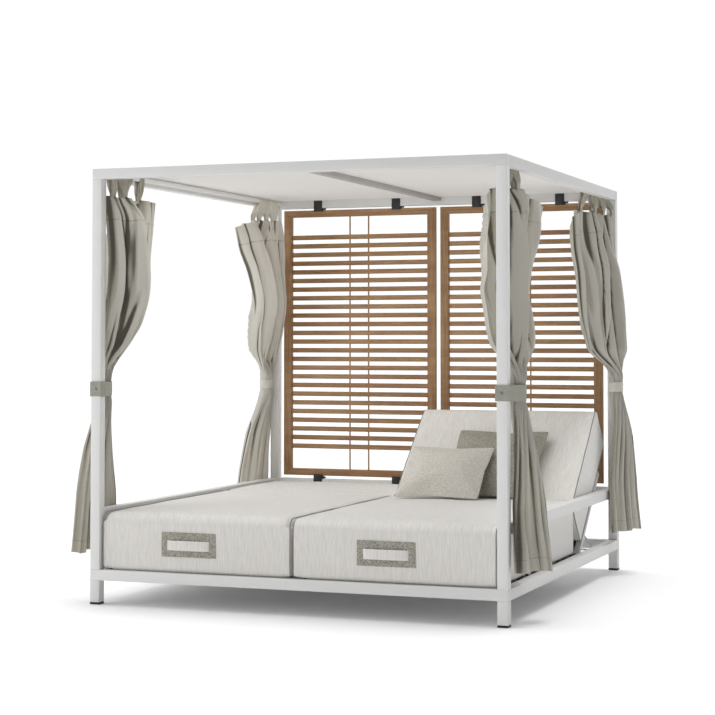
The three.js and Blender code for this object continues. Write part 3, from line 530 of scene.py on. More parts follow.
# %% Woven cloths of the ties, the patches, the pillows and the roof
def woven(name, light, dark, fleck, size, turn=(0, 0, 0), sheen=0.1, rise=0.0012):
    """Crossed threads of a given size, with flecks of mixed yarn."""
    finish = Finish(name, Metallic=0.0, IOR=1.35, Sheen_Weight=sheen, Sheen_Roughness=0.5)
    turned = finish.place(turn=turn)
    split = finish.node("ShaderNodeSeparateXYZ", {}, {0: turned})
    step = math.pi / size
    crossed = (split.part("X") * step).sine() * (split.part("Y") * step + split.part("Z") * step).sine()
    yarn = finish.cloudy(turned, 0.5 / size, 3, 0.7)
    cloud = finish.cloudy(turned, 9, 2)
    tint = finish.between(yarn + crossed * 0.16, 0.34, 0.66)
    cloth = finish.blend(tint, dark, light)
    cloth = finish.blend(finish.between(yarn, 0.60, 0.72) * 0.7, cloth, fleck)
    cloth = finish.blend(cloud * 0.12, cloth, dark)
    return finish.coat(cloth, 0.80 + yarn * 0.15, crossed * 0.35 + yarn * 0.65, rise, 0.8)


RAISED = math.radians(41.5)
patch_fabric = woven("patch_fabric", rgb(196, 193, 181), rgb(122, 119, 108), rgb(228, 225, 214), 0.0032)
tie_fabric = woven("tie_fabric", rgb(180, 179, 168), rgb(148, 147, 135), rgb(196, 195, 185), 0.0018)
pale_tie_fabric = woven("pale_tie_fabric", rgb(228, 226, 216), rgb(208, 205, 194), rgb(236, 234, 226), 0.0016)
light_pillow_fabric = woven(
    "light_pillow_fabric", rgb(238, 235, 227), rgb(200, 196, 185), rgb(246, 244, 238), 0.0034, (-RAISED, 0, 0)
)
dark_pillow_fabric = woven(
    "dark_pillow_fabric", rgb(190, 187, 174), rgb(138, 135, 121), rgb(206, 203, 191), 0.0038, (-RAISED, 0, 0)
)
roof_fabric = woven("roof_fabric", rgb(240, 238, 235), rgb(228, 226, 222), rgb(244, 243, 240), 0.0016, rise=0.0004)
print("Woven cloths:", sum("fabric" in material.name for material in bpy.data.materials))


# %% Cloth that lets light through
def let_light_through(material, share, tint):
    """Mixes in a translucent part, as in a thin pale cloth with the sky behind it."""
    nodes = Nodes(material.node_tree)
    cloth = Value(nodes, nodes.tree.nodes["Principled BSDF"].outputs["BSDF"])
    glow = nodes.node("ShaderNodeBsdfTranslucent", {}, {"Color": tint})
    mixed = nodes.node("ShaderNodeMixShader", {}, {"Fac": share, 1: cloth, 2: glow})
    nodes.tree.links.new(mixed.socket, nodes.tree.nodes["Material Output"].inputs["Surface"])


let_light_through(roof_fabric, 0.50, rgb(240, 239, 238))
for cloth in (curtain_fabric, painted_light_curtain_fabric):
    let_light_through(cloth, 0.26, rgb(226, 221, 206))
print("Finishes:", len(bpy.data.materials))


# %% [markdown]
# ## Tubes of the frame
# A square tube is a cube drawn out to its size. Real tube has rounded corners of 2 to 3 mm, and that thin bright
# line along every edge is what makes metal look like metal, so each one gets a bevel modifier.

# %% Square tubes with rounded edges
TUBE_CORNER = 0.0026


def tube(node):
    piece = block(f"{node}_tube", *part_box(node))
    modified(piece, "BEVEL", width=TUBE_CORNER, segments=3)
    return smooth(piece, 35)


tubes = ["base_front_rail", "base_back_rail", "upper_back_rail"]
tubes += [f"roof_{end}_beam" for end in ("front", "back", "left", "right")]
tubes += [f"{side}_arm_rail" for side in SIDES]
tubes += [f"{side}_{end}_{kind}" for side in SIDES for end in ENDS for kind in ("post", "leg")]
for node in tubes:
    # Roof beams get the darker copy of the coat, which is painted shade.
    coat = painted_shade_roof_coat if node.startswith("roof") else powder_coat
    finished(tube(node), coat, "frame_metal", "frame", node)
# The cross bar gets the much darker copy of the coat, which is painted shade.
finished(tube("roof_cross_bar"), painted_shade_bar_coat, "frame_metal", "frame", "roof_cross_bar")
print("Tubes:", len(tubes) + 1)


# %% [markdown]
# ## Parts that keep their measured shape
# Rails with ledges, slatted decks, backrest frames, stays, clips and feet already have the right shape. A copy of
# each is merged, its flat faces are made whole again, and a bevel eases its edges. It stays small, since a wide one
# would close the bores that the hinge pins turn in.

# %% Ease the edges of the measured parts
def eased_copy(node, radius):
    piece = linked(f"{node}_eased", frame["nodes"][node].data.copy())
    edited(
        piece,
        lambda: bpy.ops.mesh.remove_doubles(threshold=0.00002),
        lambda: bpy.ops.mesh.dissolve_limited(angle_limit=math.radians(1)),
    )
    bevelled(piece, radius, 2)
    return smooth(piece, 35)


eased = {f"base_{name}": (0.0006, powder_coat, "frame_metal") for name in ("left_rail", "right_rail", "centre_beam")}
for side in SIDES:
    eased[f"{side}_seat_deck"] = (0.0015, slat_coat, "deck_metal")
    eased[f"{side}_backrest_frame"] = (0.0012, support_coat, "support_metal")
    eased[f"{side}_backrest_stay"] = (0.0006, support_coat, "support_metal")
    for place in SIDES:
        for level in ("top", "bottom"):
            eased[f"{side}_panel_{level}_clip_{place}"] = (0.0009, black_plastic, "black_plastic")
    for end in ENDS:
        eased[f"{side}_{end}_foot_cap"] = (0.0012, black_plastic, "black_plastic")
for node, (radius, finish, slot) in eased.items():
    finished(eased_copy(node, radius), finish, slot, body_of[node], node)
print("Eased copies:", len(eased))


# %% [markdown]
# ## Curtain rods
# Each rod is a round tube with a round flange at both ends. A cylinder with many sides and a small bevel is all
# that it takes.

# %% Round rods with flanges
def round_bar(centre, radius, length, turn, bevel=0.0006, sides=40):
    deselect()
    bpy.ops.mesh.primitive_cylinder_add(vertices=sides, radius=radius, depth=length, location=centre, rotation=turn)
    piece = settled(started("round_bar"))
    bevelled(piece, bevel, 2)
    return smooth(piece, 35)


ROD_RADIUS, FLANGE_RADIUS, FLANGE = 0.0125, 0.017, 0.004
LEVEL_TURN = (math.pi / 2, 0, 0)
for side in SIDES:
    low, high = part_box(f"{side}_curtain_rod")
    middle = (low + high) / 2
    bars = [round_bar(middle, ROD_RADIUS, high.y - low.y - FLANGE / 2, LEVEL_TURN)]
    for end in (low.y + FLANGE / 2, high.y - FLANGE / 2):
        bars.append(round_bar((middle.x, end, middle.z), FLANGE_RADIUS, FLANGE, LEVEL_TURN))
    rod = joined(f"{side}_curtain_rod_round", bars)
    finished(rod, powder_coat, "frame_metal", "frame", f"{side}_curtain_rod")
print("Rods:", len(SIDES))


# %% [markdown]
# ## Roof cloth
# One sheet is stretched between the four beams and over the flat bar in the middle. It sags a few millimetres in
# each half, which is enough to catch the light unevenly.

# %% Stretch the roof cloth
SAG, RIPPLE = 0.010, 0.0012


def roof_sheet():
    low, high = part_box("roof_fabric")
    piece, flat = grid("roof_cloth", 72, 72)
    x, y = flat[:, 0] * 2, flat[:, 1] * 2
    sag = SAG * np.sin(np.pi * np.abs(x)) ** 2 * (1 - y**4)
    ripple = RIPPLE * np.sin(9 * np.pi * y) * (1 - np.abs(x)) * np.abs(x)
    across = (low.x + high.x) / 2 + x * (high.x - low.x) / 2
    along = (low.y + high.y) / 2 + y * (high.y - low.y) / 2
    move_points(piece, np.stack([across, along, high.z - 0.0008 - sag + ripple], axis=1))
    modified(piece, "SOLIDIFY", thickness=0.0014, offset=0)
    return smooth(piece, 60), (high.x - low.x, high.y - low.y)


roof_cloth, roof_cut = roof_sheet()
finished(roof_cloth, roof_fabric, "roof_fabric", "frame", "roof_fabric")
print("Roof cloth:", [round(size, 3) for size in roof_cut])


# %% [markdown]
# ## Louvre panels
# A panel is a frame of four teak boards with mitred corners, 25 level slats and two thin rods that hold the slats
# apart. Each board is its own piece of wood, so the joints show as fine lines, as on the real frame.

# %% Boards with mitred ends
def board(name, low, high, mitres=(), radius=0.0014):
    """A board between two corners. Each mitre is a point and a direction, and what lies beyond it is cut off."""
    piece = block(name, Vector(low), Vector(high))
    cuts = [
        lambda at=at, way=way: bpy.ops.mesh.bisect(
            plane_co=at, plane_no=way, use_fill=True, clear_outer=True, threshold=0.00001
        )
        for at, way in mitres
    ]
    edited(piece, *cuts)
    outward(piece)
    bevelled(piece, radius, 3, 30)
    return smooth(piece, 30)


STILE, RAIL = 0.049, 0.040
for side in SIDES:
    low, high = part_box(f"{side}_louvre_frame")
    y = (low.y, high.y)
    slope = Vector((RAIL, 0, STILE)).normalized()
    for place, sign, edge in (("left", -1, low.x), ("right", 1, high.x)):
        x = sorted((edge, edge - sign * STILE))
        top = ((edge, 0, high.z), (-sign * slope.x, 0, slope.z))
        bottom = ((edge, 0, low.z), (-sign * slope.x, 0, -slope.z))
        stile = board(f"{side}_panel_stile_{place}", (x[0], y[0], low.z), (x[1], y[1], high.z), (top, bottom))
        finished(stile, teak_upright, "teak", "frame", f"{side}_louvre_frame")
    for place, sign, edge in (("bottom", -1, low.z), ("top", 1, high.z)):
        z = sorted((edge, edge - sign * RAIL))
        ends = [
            ((corner, 0, edge), (side_sign * slope.x, 0, -sign * slope.z))
            for side_sign, corner in ((-1, low.x), (1, high.x))
        ]
        rail = board(f"{side}_panel_rail_{place}", (low.x, y[0], z[0]), (high.x, y[1], z[1]), ends)
        finished(rail, teak_level, "teak", "frame", f"{side}_louvre_frame")
print("Panel boards:", 4 * len(SIDES))


# %% Slats and the two thin rods
SLATS, SLAT_HEIGHT, SLAT_DEPTH = 25, 0.0270, 0.012
SLATS_FROM_TOP, SLATS_FROM_LOW = 0.120, 0.131
THIN_ROD, THIN_ROD_AWAY = 0.0045, 0.058
for side in SIDES:
    low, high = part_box(f"{side}_louvre_frame")
    first = high.z - RAIL - SLATS_FROM_TOP
    pitch = (first - (low.z + RAIL + SLATS_FROM_LOW)) / (SLATS - 1)
    y = (low.y + high.y) / 2
    span = (low.x + STILE - 0.001, high.x - STILE + 0.001)
    half = (SLAT_DEPTH / 2, SLAT_HEIGHT / 2)
    ends = [(span[k], y + (2 * k - 1) * half[0], first + (2 * k - 1) * half[1]) for k in range(2)]
    pattern = board("slat", *ends, radius=0.0040)
    slats = [pattern]
    for k in range(1, SLATS):
        copy = linked("slat_copy", pattern.data.copy())
        slats.append(move_points(copy, points(copy) - [0, 0, k * pitch]))
    middle = (low.x + high.x) / 2
    length = high.z - low.z - 2 * RAIL + 0.002
    for shift in (-THIN_ROD_AWAY, THIN_ROD_AWAY):
        slats.append(round_bar((middle + shift, y, (low.z + high.z) / 2), THIN_ROD, length, (0, 0, 0), sides=16))
    finished(joined(f"{side}_slats", slats), teak_level, "teak", "frame", f"{side}_louvre_slats")
print("Slat pitch:", round(pitch, 4))


# %% [markdown]
# ## Cushions
# A cushion is a foam block in a cover. One band of cloth runs over the front, the top and the back with a generous
# radius, and two flat ends close it with a piped seam. It starts as a cube whose long edges are bevelled, is cut
# into a fine grid with bisect, and is then shaped: the top is crowned and the ends pull in between the corners.

# %% How a block of foam gives way
# A noise vector takes its offsets from the clock until a seed is set.
noise.seed_set(7)
TOP_RADIUS, LOW_RADIUS, SEAM_RADIUS = 0.048, 0.022, 0.007
CROWN, FULL_ENDS, DRAWN_IN, LOW_LIFT = 0.010, 0.0035, 0.005, 0.006


def uneven(places, size, amount):
    """A slow, seeded unevenness in all three directions."""
    found = [noise.noise_vector(Vector(p) * size) for p in places]
    return np.array(found) * amount


def soften(places, half):
    """Crowns the top, lifts the bottom's two side edges and draws the long faces in towards the corners."""
    a, b, c = (places[:, i] / half[i] for i in range(3))
    ease = [np.clip(1 - np.abs(t) ** 2.2, 0, 1) for t in (a, b, c)]
    moved = places.copy()
    moved[:, 2] += CROWN * ease[0] ** 0.7 * ease[1] ** 0.7 * np.clip(c, 0, 1)
    moved[:, 0] += FULL_ENDS * a * ease[1] * ease[2]
    moved[:, 1] -= DRAWN_IN * b * (1 - ease[0] * ease[2])
    moved[:, 2] += LOW_LIFT * np.clip((np.abs(a) - 0.90) / 0.085, 0, 1) * np.clip(-c * 4 - 3, 0, 1)
    top = np.clip(c * 0.5 + 0.5, 0, 1)[:, None]
    return moved + uneven(places, 5.0, 0.0022) * top + uneven(places, 14.0, 0.0008) * top


print("Crown of a cushion:", CROWN, "m")


# %% The block itself
def pick_edges(piece, wanted):
    """Selects the edges whose two ends fit a test."""
    found = points(piece)
    for part in (piece.data.polygons, piece.data.vertices):
        part.foreach_set("select", [False] * len(part))
    for edge in piece.data.edges:
        edge.select = bool(wanted(found[list(edge.vertices)]))


def cushion_block(name, width, length, height):
    half = Vector((width, length, height)) / 2
    piece = only(block(name, -half, half))

    def level_rim(level):
        return lambda ends: abs(ends[0, 1] - ends[1, 1]) < 1e-6 and np.all(np.abs(ends[:, 2] - level) < 1e-6)

    def end_rims(ends):
        return np.all(np.abs(np.abs(ends[:, 0]) - width / 2) < 1e-6)

    rims = ((level_rim(height / 2), TOP_RADIUS, 8), (level_rim(-height / 2), LOW_RADIUS, 5), (end_rims, SEAM_RADIUS, 3))
    for wanted, radius, steps in rims:
        pick_edges(piece, wanted)
        bpy.ops.object.mode_set(mode="EDIT")
        bpy.ops.mesh.select_mode(type="EDGE")
        bpy.ops.mesh.bevel(offset=radius, offset_type="OFFSET", segments=steps, affect="EDGES")
        bpy.ops.object.mode_set(mode="OBJECT")
    cuts = []
    for axis, size, step in ((0, width, 0.040), (1, length, 0.040), (2, height, 0.034)):
        reach = size / 2 - (SEAM_RADIUS if axis == 0 else TOP_RADIUS)
        count = max(2, round(2 * reach / step))
        way = tuple(int(i == axis) for i in range(3))
        for k in range(1, count):
            at = tuple((-reach + 2 * reach * k / count) * share for share in way)
            cuts.append(lambda at=at, way=way: bpy.ops.mesh.bisect(plane_co=at, plane_no=way))
    edited(piece, *cuts)
    move_points(piece, soften(points(piece), (width / 2, length / 2, height / 2)))
    modified(piece, "SUBSURF", levels=1, render_levels=1)
    return smooth(piece, 60)


print("Long edges are rounded by", TOP_RADIUS, "m at the top and", LOW_RADIUS, "m below")


# %% Piping along both seams
CORD_RADIUS, CORD_IN, CORD_UNDER, CORD_STEP = 0.0030, 0.0030, 0.0022, 0.03


def end_outline(half, end):
    """The outline of one end with its rounded corners, in steps short enough to bend."""
    path = []
    for corner, signs in enumerate(((1, 1), (-1, 1), (-1, -1), (1, -1))):
        rounding = TOP_RADIUS if signs[1] > 0 else LOW_RADIUS
        core = (half[1] - rounding, half[2] - rounding)
        reach = rounding - CORD_UNDER
        for k in range(9):
            turn = corner * math.pi / 2 + k * math.pi / 16
            along = signs[0] * core[0] + reach * math.cos(turn)
            path.append((end * (half[0] - CORD_IN), along, signs[1] * core[1] + reach * math.sin(turn)))
    fine = []
    for k, point in enumerate(path):
        after = np.array(path[(k + 1) % len(path)])
        steps = max(1, round(float(np.linalg.norm(after - point)) / CORD_STEP))
        fine += [tuple(np.array(point) + (after - point) * i / steps) for i in range(steps)]
    return np.array(fine)


def piping(name, width, length, height):
    half = (width / 2, length / 2, height / 2)
    seams = []
    for end in (-1, 1):
        outline = soften(end_outline(half, end), half)
        curve = bpy.data.curves.new(name, "CURVE")
        curve.dimensions = "3D"
        curve.bevel_depth = CORD_RADIUS
        curve.bevel_resolution = 2
        line = curve.splines.new("POLY")
        line.points.add(len(outline) - 1)
        line.points.foreach_set("co", np.append(outline, np.ones((len(outline), 1)), axis=1).ravel())
        line.use_cyclic_u = True
        only(linked(name, curve))
        bpy.ops.object.convert(target="MESH")
        seams.append(bpy.context.object)
    return smooth(outward(joined(name, seams)), 60)


print("Piping:", 2 * CORD_RADIUS, "m thick")


# %% Where the cushions lie
SHIFT = 0.00325
HINGE = Vector((0, 0.415 + SHIFT, 0.1545))
DECK_TOP, ON_DECK, ON_SLATS = 0.167, 0.0003, 0.0128
CUSHION = (0.974, 0.272)
SEAT = (-1.090 + SHIFT, 0.305 + SHIFT)
BACK_START, BACK_LENGTH = -0.104, 0.714
RAISED_LENGTH, RAISED_SHIFT = 0.736, 0.004
SLIDE = 0.175


def placed(piece, matrix):
    return move_points(piece, points(piece) @ np.array(matrix.to_3x3()).T + np.array(matrix.translation))


def back_place(side):
    """From a point on the backrest, along it and away from it, to its place with the backrest as it stands."""
    if side == "left":
        return Matrix.Translation(HINGE + Vector((0, 0, ON_SLATS)))
    up = Matrix.Rotation(RAISED, 4, "X")
    return Matrix.Translation(HINGE) @ up @ Matrix.Translation((0, SLIDE, ON_SLATS))


def cushion_places(side, sign):
    """For the seat and the back cushion: length, place and body."""
    across, up = sign * CUSHION_MIDDLE, CUSHION[1] / 2
    seat_at = Matrix.Translation((across, (SEAT[0] + SEAT[1]) / 2, DECK_TOP + ON_DECK + up))
    length, shift = (BACK_LENGTH, 0) if side == "left" else (RAISED_LENGTH, RAISED_SHIFT)
    back_at = back_place(side) @ Matrix.Translation((across, BACK_START + BACK_LENGTH / 2 + shift, up))
    return (("seat", SEAT[1] - SEAT[0], seat_at, "frame"), ("back", length, back_at, f"{side}_cushion"))


print("Seat cushion:", round(SEAT[1] - SEAT[0], 3), "m long, backs:", BACK_LENGTH, RAISED_LENGTH)


# %% Put the four cushions in place
for side, sign in SIDES.items():
    for kind, length, at, body in cushion_places(side, sign):
        name = f"{side}_{kind}_cushion"
        pad = placed(cushion_block(f"{name}_pad", CUSHION[0], length, CUSHION[1]), at)
        cord = placed(piping(f"{name}_piping", CUSHION[0], length, CUSHION[1]), at)
        finished(pad, cushion_fabric, "cushion_fabric", body, name)
        finished(cord, piping_painted_shade_fabric, "cushion_fabric", body)
        print(name, "points:", len(pad.data.vertices))


# %% [markdown]
# ## Patches and pull straps
# A coarse woven patch is sewn to the front of each seat cushion, and a pale strap over it is fixed at both ends,
# so its middle stands off a little. Both are thin sheets: a grid, moved to shape and given a thickness.

# %% Sew on the patches and the straps
PATCH, STRAP = (0.281, 0.114), (0.217, 0.046)
PATCH_IN, STRAP_OUT, STRAP_DOWN = 0.0012, 0.0022, 0.060


def cloth_band(name, size, bulge, thickness, columns, rows):
    piece, flat = grid(name, columns, rows)
    across, up = flat[:, 0] * 2, flat[:, 1] * 2
    lift = bulge * np.clip(1 - np.abs(across) ** 4, 0, 1) * (1 - 0.35 * up**2)
    move_points(piece, np.stack([across * size[0] / 2, -lift, up * size[1] / 2], axis=1))
    modified(piece, "SOLIDIFY", thickness=thickness, offset=0)
    return smooth(bevelled(piece, thickness * 0.3, 2, 60), 50)


for side in SIDES:
    low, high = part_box(f"{side}_cushion_handle")
    middle = Vector(((low.x + high.x) / 2, high.y - PATCH_IN, (low.z + high.z) / 2))
    patch = cloth_band(f"{side}_patch", PATCH, 0.0006, 0.0022, 44, 18)
    move_points(patch, points(patch) + np.array(middle))
    strap = cloth_band(f"{side}_strap", STRAP, 0.0120, 0.0024, 36, 8)
    move_points(strap, points(strap) + np.array((middle.x, middle.y - STRAP_OUT, high.z - STRAP_DOWN)))
    finished(patch, patch_fabric, "patch_fabric", "frame", f"{side}_cushion_handle")
    finished(strap, cushion_fabric, "cushion_fabric", "frame", f"{side}_cushion_handle")
print("Patch:", PATCH, "strap:", STRAP)


# %% [markdown]
# ## Throw pillows
# Two squares of cloth are sewn together at the rim and filled, which is just what the cloth solver does with a
# pressure: the middle swells and small creases run in from the seams. Afterwards the pillow is brought to its real
# size, and its outline is drawn in between the corners.

# %% Fill a pillow by simulation
CLOTH = {
    "quality": 6, "mass": 0.25, "tension_stiffness": 12, "compression_stiffness": 12, "shear_stiffness": 6,
    "bending_stiffness": 0.4, "use_pressure": True, "uniform_pressure_force": 5.0,
}
CELLS, FILLING_FRAMES, RIM = 46, 24, 0.010
SIDES_DRAWN, CORNERS_DRAWN = 0.040, 0.045


def blow_up(piece):
    only(piece)
    modifier = piece.modifiers.new("filling", "CLOTH")
    for name, value in CLOTH.items():
        setattr(modifier.settings, name, value)
    modifier.settings.effector_weights.gravity = 0
    modifier.collision_settings.use_collision = False
    for step in range(FILLING_FRAMES):
        scene.frame_set(step + 1)
    bpy.ops.object.modifier_apply(modifier=modifier.name)
    scene.frame_set(1)


def filled_pillow(name, width, height, thickness):
    piece, flat = grid(name, CELLS, CELLS)
    move_points(piece, np.stack([flat[:, 0] * width, flat[:, 1] * height, 0 * flat[:, 0]], axis=1))
    modified(piece, "SOLIDIFY", thickness=RIM, offset=0)
    places = points(piece)
    blow_up(piece)
    found = points(piece)
    found -= (found.max(0) + found.min(0)) / 2
    found *= np.array([width, height, thickness]) / (found.max(0) - found.min(0))
    a, b = 2 * places[:, 0] / width, 2 * places[:, 1] / height
    drawn = 1 - SIDES_DRAWN * np.stack([np.cos(b * np.pi / 2) * np.abs(a), np.cos(a * np.pi / 2) * np.abs(b)], axis=1)
    corner = 1 - CORNERS_DRAWN * (np.abs(a * b) ** 3)[:, None]
    square = places[:, :2] * drawn * corner
    found[:, :2] = 0.12 * found[:, :2] + 0.88 * square
    found[:, 2] *= 1 - 0.10 * b
    found *= np.array([width, height, thickness]) / (found.max(0) - found.min(0))
    move_points(piece, found)
    modified(piece, "SUBSURF", levels=1, render_levels=1)
    return smooth(piece, 80)


print("A pillow is filled over", FILLING_FRAMES, "frames")


# %% Lean both pillows on the raised cushion
# Each has its size, how far aside and up it lies, its lean, the height of its underside and its cloth.
PILLOWS = {
    "rear_pillow": ((0.490, 0.490, 0.116), 0.026, 0.297, 0.0, 0.2775, dark_pillow_fabric, "dark_pillow_fabric"),
    "front_pillow": ((0.450, 0.390, 0.118), -0.191, 0.131, -3.0, 0.3735, light_pillow_fabric, "light_pillow_fabric"),
}
for name, (size, aside, up, lean, under, finish, slot) in PILLOWS.items():
    pillow = filled_pillow(f"{name}_pad", *size)
    at = back_place("right") @ Matrix.Translation((BED_MIDDLE + aside, up - SLIDE, under + size[2] / 2))
    placed(pillow, at @ Matrix.Rotation(math.radians(lean), 4, "X"))
    finished(pillow, finish, slot, "right_cushion", name)
    print(name, "points:", len(pillow.data.vertices))


# %% [markdown]
# ## Curtains
# A curtain is one sheet of cloth. Along its rod it hangs in soft folds. It is pulled together at the waist, where
# the folds break up into many small pleats, and below the tie it fans out again to the hem. The sheet is a grid
# whose points are moved to smooth lines through a few levels, so a whole drape is only a short table. Simulated
# cloth falls well, but not into the folds that were photographed, so the folds are drawn.

# %% A smooth line through the levels
def eased_line(x, xs, ys):
    """A smooth curve through the given points that doesn't swing past them."""
    xs, ys = np.asarray(xs, float), np.asarray(ys, float)
    slopes = np.diff(ys) / np.diff(xs)
    leaving = np.zeros(len(xs))
    same = slopes[:-1] * slopes[1:] > 0
    total = np.where(same, slopes[:-1] + slopes[1:], 1)
    leaving[1:-1] = np.where(same, 2 * slopes[:-1] * slopes[1:] / total, 0)
    leaving[0], leaving[-1] = slopes[0], slopes[-1]
    i = np.clip(np.searchsorted(xs, x) - 1, 0, len(xs) - 2)
    step = xs[i + 1] - xs[i]
    t = (x - xs[i]) / step
    low = (1 + 2 * t) * (1 - t) ** 2 * ys[i] + t * (1 - t) ** 2 * step * leaving[i]
    return low + t * t * (3 - 2 * t) * ys[i + 1] + t * t * (t - 1) * step * leaving[i + 1]


print("A line through 0, 1 and 4 is at", round(float(eased_line(0.5, [0, 1, 2], [0, 1, 4])), 3), "half way to 1")


# %% The lines that each curtain follows
POST_IN, POST_OUT = (0.9875, 1.055), (1.0375, 1.105)
ROD = (0.970, 2.0645)
HEADER_TOP, HEM = 1.960, 0.235
WAIST_X = POST_OUT[0] + 0.0075
FRONT_TIE, BACK_TIE = (0.965, 1.026, 0.070), (1.010, 1.006, 0.052)
KNOTS = np.linspace(0, 1, 11)

# Each row, in thousandths: height, how far the post side stands from the post and inwards from the rod, the same
# for the free side, and the share of the folds. Along and inward say where the big folds stand between both sides.
# A crease has its share of the width at the top and at the waist and its depth. A shade is painted shade and has its
# middle, its width, its lowest and highest level and how dark it is; where that is below zero it is painted light.
# Droop and hang lower the header's two corners beside its tabs.
CUTS = {
    "left_front": {
        "rows": [
            (1960, 7, 0, 470, 22, 350), (1845, 7, 0, 465, 5, 900), (1690, 7, 0, 440, -7, 1000),
            (1515, 8, -10, 410, 7, 1000), (1352, 10, -30, 350, -4, 800), (1213, 20, -50, 195, -20, 500),
            (1090, 50, -70, 120, -41, 250),
        ],
        "along": [0, 0.03, 0.08, 0.15, 0.24, 0.30, 0.38, 0.52, 0.69, 0.85, 1],
        "inward": [-0.01, 0.04, 0.085, 0.100, 0.04, -0.04, -0.05, -0.03, 0.00, 0.02, 0],
        "droop": 0.004, "tilt": -0.034, "hang": 0.0, "seed": 3.0,
        "tabs": (0.08, 0.78),
        "creases": [(0.12, 0.25, 0.018), (0.40, 0.66, 0.046), (0.62, 0.62, 0.034), (0.86, 0.80, 0.012)],
        "shade": [(0.85, 0.22, 1.12, 1.72, 0.30), (0.40, 0.80, 1.10, 2.10, 0.55), (0.5, 0.8, 0.10, 0.90, -0.25)],
    },
    "left_back": {
        "rows": [
            (1960, 30, 30, 605, -8, 400), (1850, 30, 36, 595, -3, 900), (1660, 20, 30, 480, -6, 1000),
            (1490, 7, 34, 400, -4, 1000), (1309, 8, 10, 360, -34, 900), (1206, 10, -18, 300, -54, 600),
            (1075, 15, -44, 140, -98, 250),
        ],
        "along": [0, 0.06, 0.16, 0.28, 0.39, 0.44, 0.54, 0.66, 0.79, 0.91, 1],
        "inward": [0, 0.0, 0.0, 0.015, 0.0, -0.06, -0.03, 0.03, 0.04, 0.02, 0],
        "droop": 0.066, "tilt": 0.030, "hang": 0.0, "seed": 23.0,
        "tabs": (0.16, 0.56),
        "creases": [(0.23, 0.15, 0.022), (0.39, 0.52, 0.050), (0.60, 0.74, 0.018), (0.85, 0.95, 0.010)],
        "shade": [(0.22, 0.10, 1.05, 1.90, 0.35)],
    },
    "right_front": {
        "rows": [
            (1960, 7, 60, 595, -45, 400), (1845, 7, 42, 575, -43, 900), (1590, 7, 34, 480, -27, 1000),
            (1490, 7, 50, 430, -28, 1000), (1390, 7, 36, 400, -48, 900), (1284, 10, 20, 350, -73, 700),
            (1116, 30, -35, 200, -97, 300),
        ],
        "along": [0, 0.10, 0.22, 0.29, 0.36, 0.43, 0.51, 0.63, 0.75, 0.88, 1],
        "inward": [0, 0.02, 0, -0.05, -0.075, -0.01, -0.05, 0, 0, -0.005, 0],
        "droop": 0.066, "tilt": 0.040, "hang": 0.050, "seed": 11.0,
        "tabs": (0.22, 0.52),
        "creases": [(0.10, 0.30, 0.020), (0.35, 0.50, 0.022), (0.50, 0.85, 0.055), (0.62, 0.95, 0.030)],
        "shade": [
            (0.12, 0.24, 0.22, 1.02, 0.50), (0.50, 0.10, 1.10, 1.95, 0.70), (0.06, 0.14, 1.10, 1.99, -1.40),
            (0.92, 0.14, 1.50, 1.99, -0.60),
        ],
    },
    "right_back": {
        "rows": [
            (1960, 7, -30, 600, 46, 400), (1800, 7, -30, 580, 31, 900), (1630, 7, -70, 540, 15, 1000),
            (1420, 7, -95, 480, 17, 1000), (1225, 10, -110, 380, 2, 800), (1117, 15, -112, 250, -21, 400),
            (1050, 20, -110, 140, -45, 200),
        ],
        "along": [0, 0.07, 0.17, 0.27, 0.36, 0.43, 0.52, 0.66, 0.80, 0.91, 1],
        "inward": [0, -0.02, -0.02, 0.03, 0.035, -0.03, -0.04, 0, 0.02, 0, 0],
        "droop": 0.066, "tilt": -0.036, "hang": 0.0, "seed": 31.0,
        "tabs": (0.08, 0.74),
        "creases": [(0.14, 0.12, 0.022), (0.45, 0.60, 0.050), (0.77, 0.92, 0.032), (0.30, 0.35, 0.018)],
        "shade": [(0.30, 0.16, 1.05, 1.90, 0.35), (0.80, 0.10, 1.05, 1.85, 0.25)],
    },
}
print("Curtains:", list(CUTS))


# %% The levels of the gathered part, and slow noise
def bundle_rows(waist_y, waist_z, band):
    """Below the folds: height, middle X and Y, half width, depth and share of small pleats."""
    top, low = waist_z + band / 2, waist_z - band / 2
    return np.array(
        [
            (1.400, WAIST_X - 0.010, waist_y - 0.03, 0.115, 0.052, 0.15),
            (top + 0.110, WAIST_X - 0.005, waist_y - 0.010, 0.075, 0.050, 0.60),
            (top + 0.030, WAIST_X, waist_y, 0.046, 0.042, 0.95),
            (top, WAIST_X, waist_y, 0.0355, 0.0355, 1.0),
            (low, WAIST_X, waist_y, 0.0355, 0.0355, 1.0),
            (low - 0.030, WAIST_X + 0.002, waist_y, 0.044, 0.041, 0.95),
            (low - 0.130, WAIST_X + 0.018, waist_y - 0.004, 0.068, 0.048, 0.50),
            (0.720, WAIST_X + 0.036, (waist_y + 0.95) / 2, 0.098, 0.054, 0.22),
            (0.453, WAIST_X + 0.052, 0.945, 0.128, 0.052, 0.12),
            (HEM, WAIST_X + 0.066, 0.940, 0.148, 0.060, 0.06),
        ]
    )


def waver(s, depth, across, down, seed):
    """A slow seeded noise over the cloth, drawn out along its fall."""
    return np.array([noise.noise(Vector((across * t, down * d, seed))) for t, d in zip(s, depth)])


print("Levels below the folds:", len(bundle_rows(*FRONT_TIE)))


# %% Above the tie: broad folds between the post and the free side
FOLD_DEPTH, TAB_PINCH, FOLD_COUNT = 1.45, 0.017, 5.4
CREASE_WIDTH = 0.024


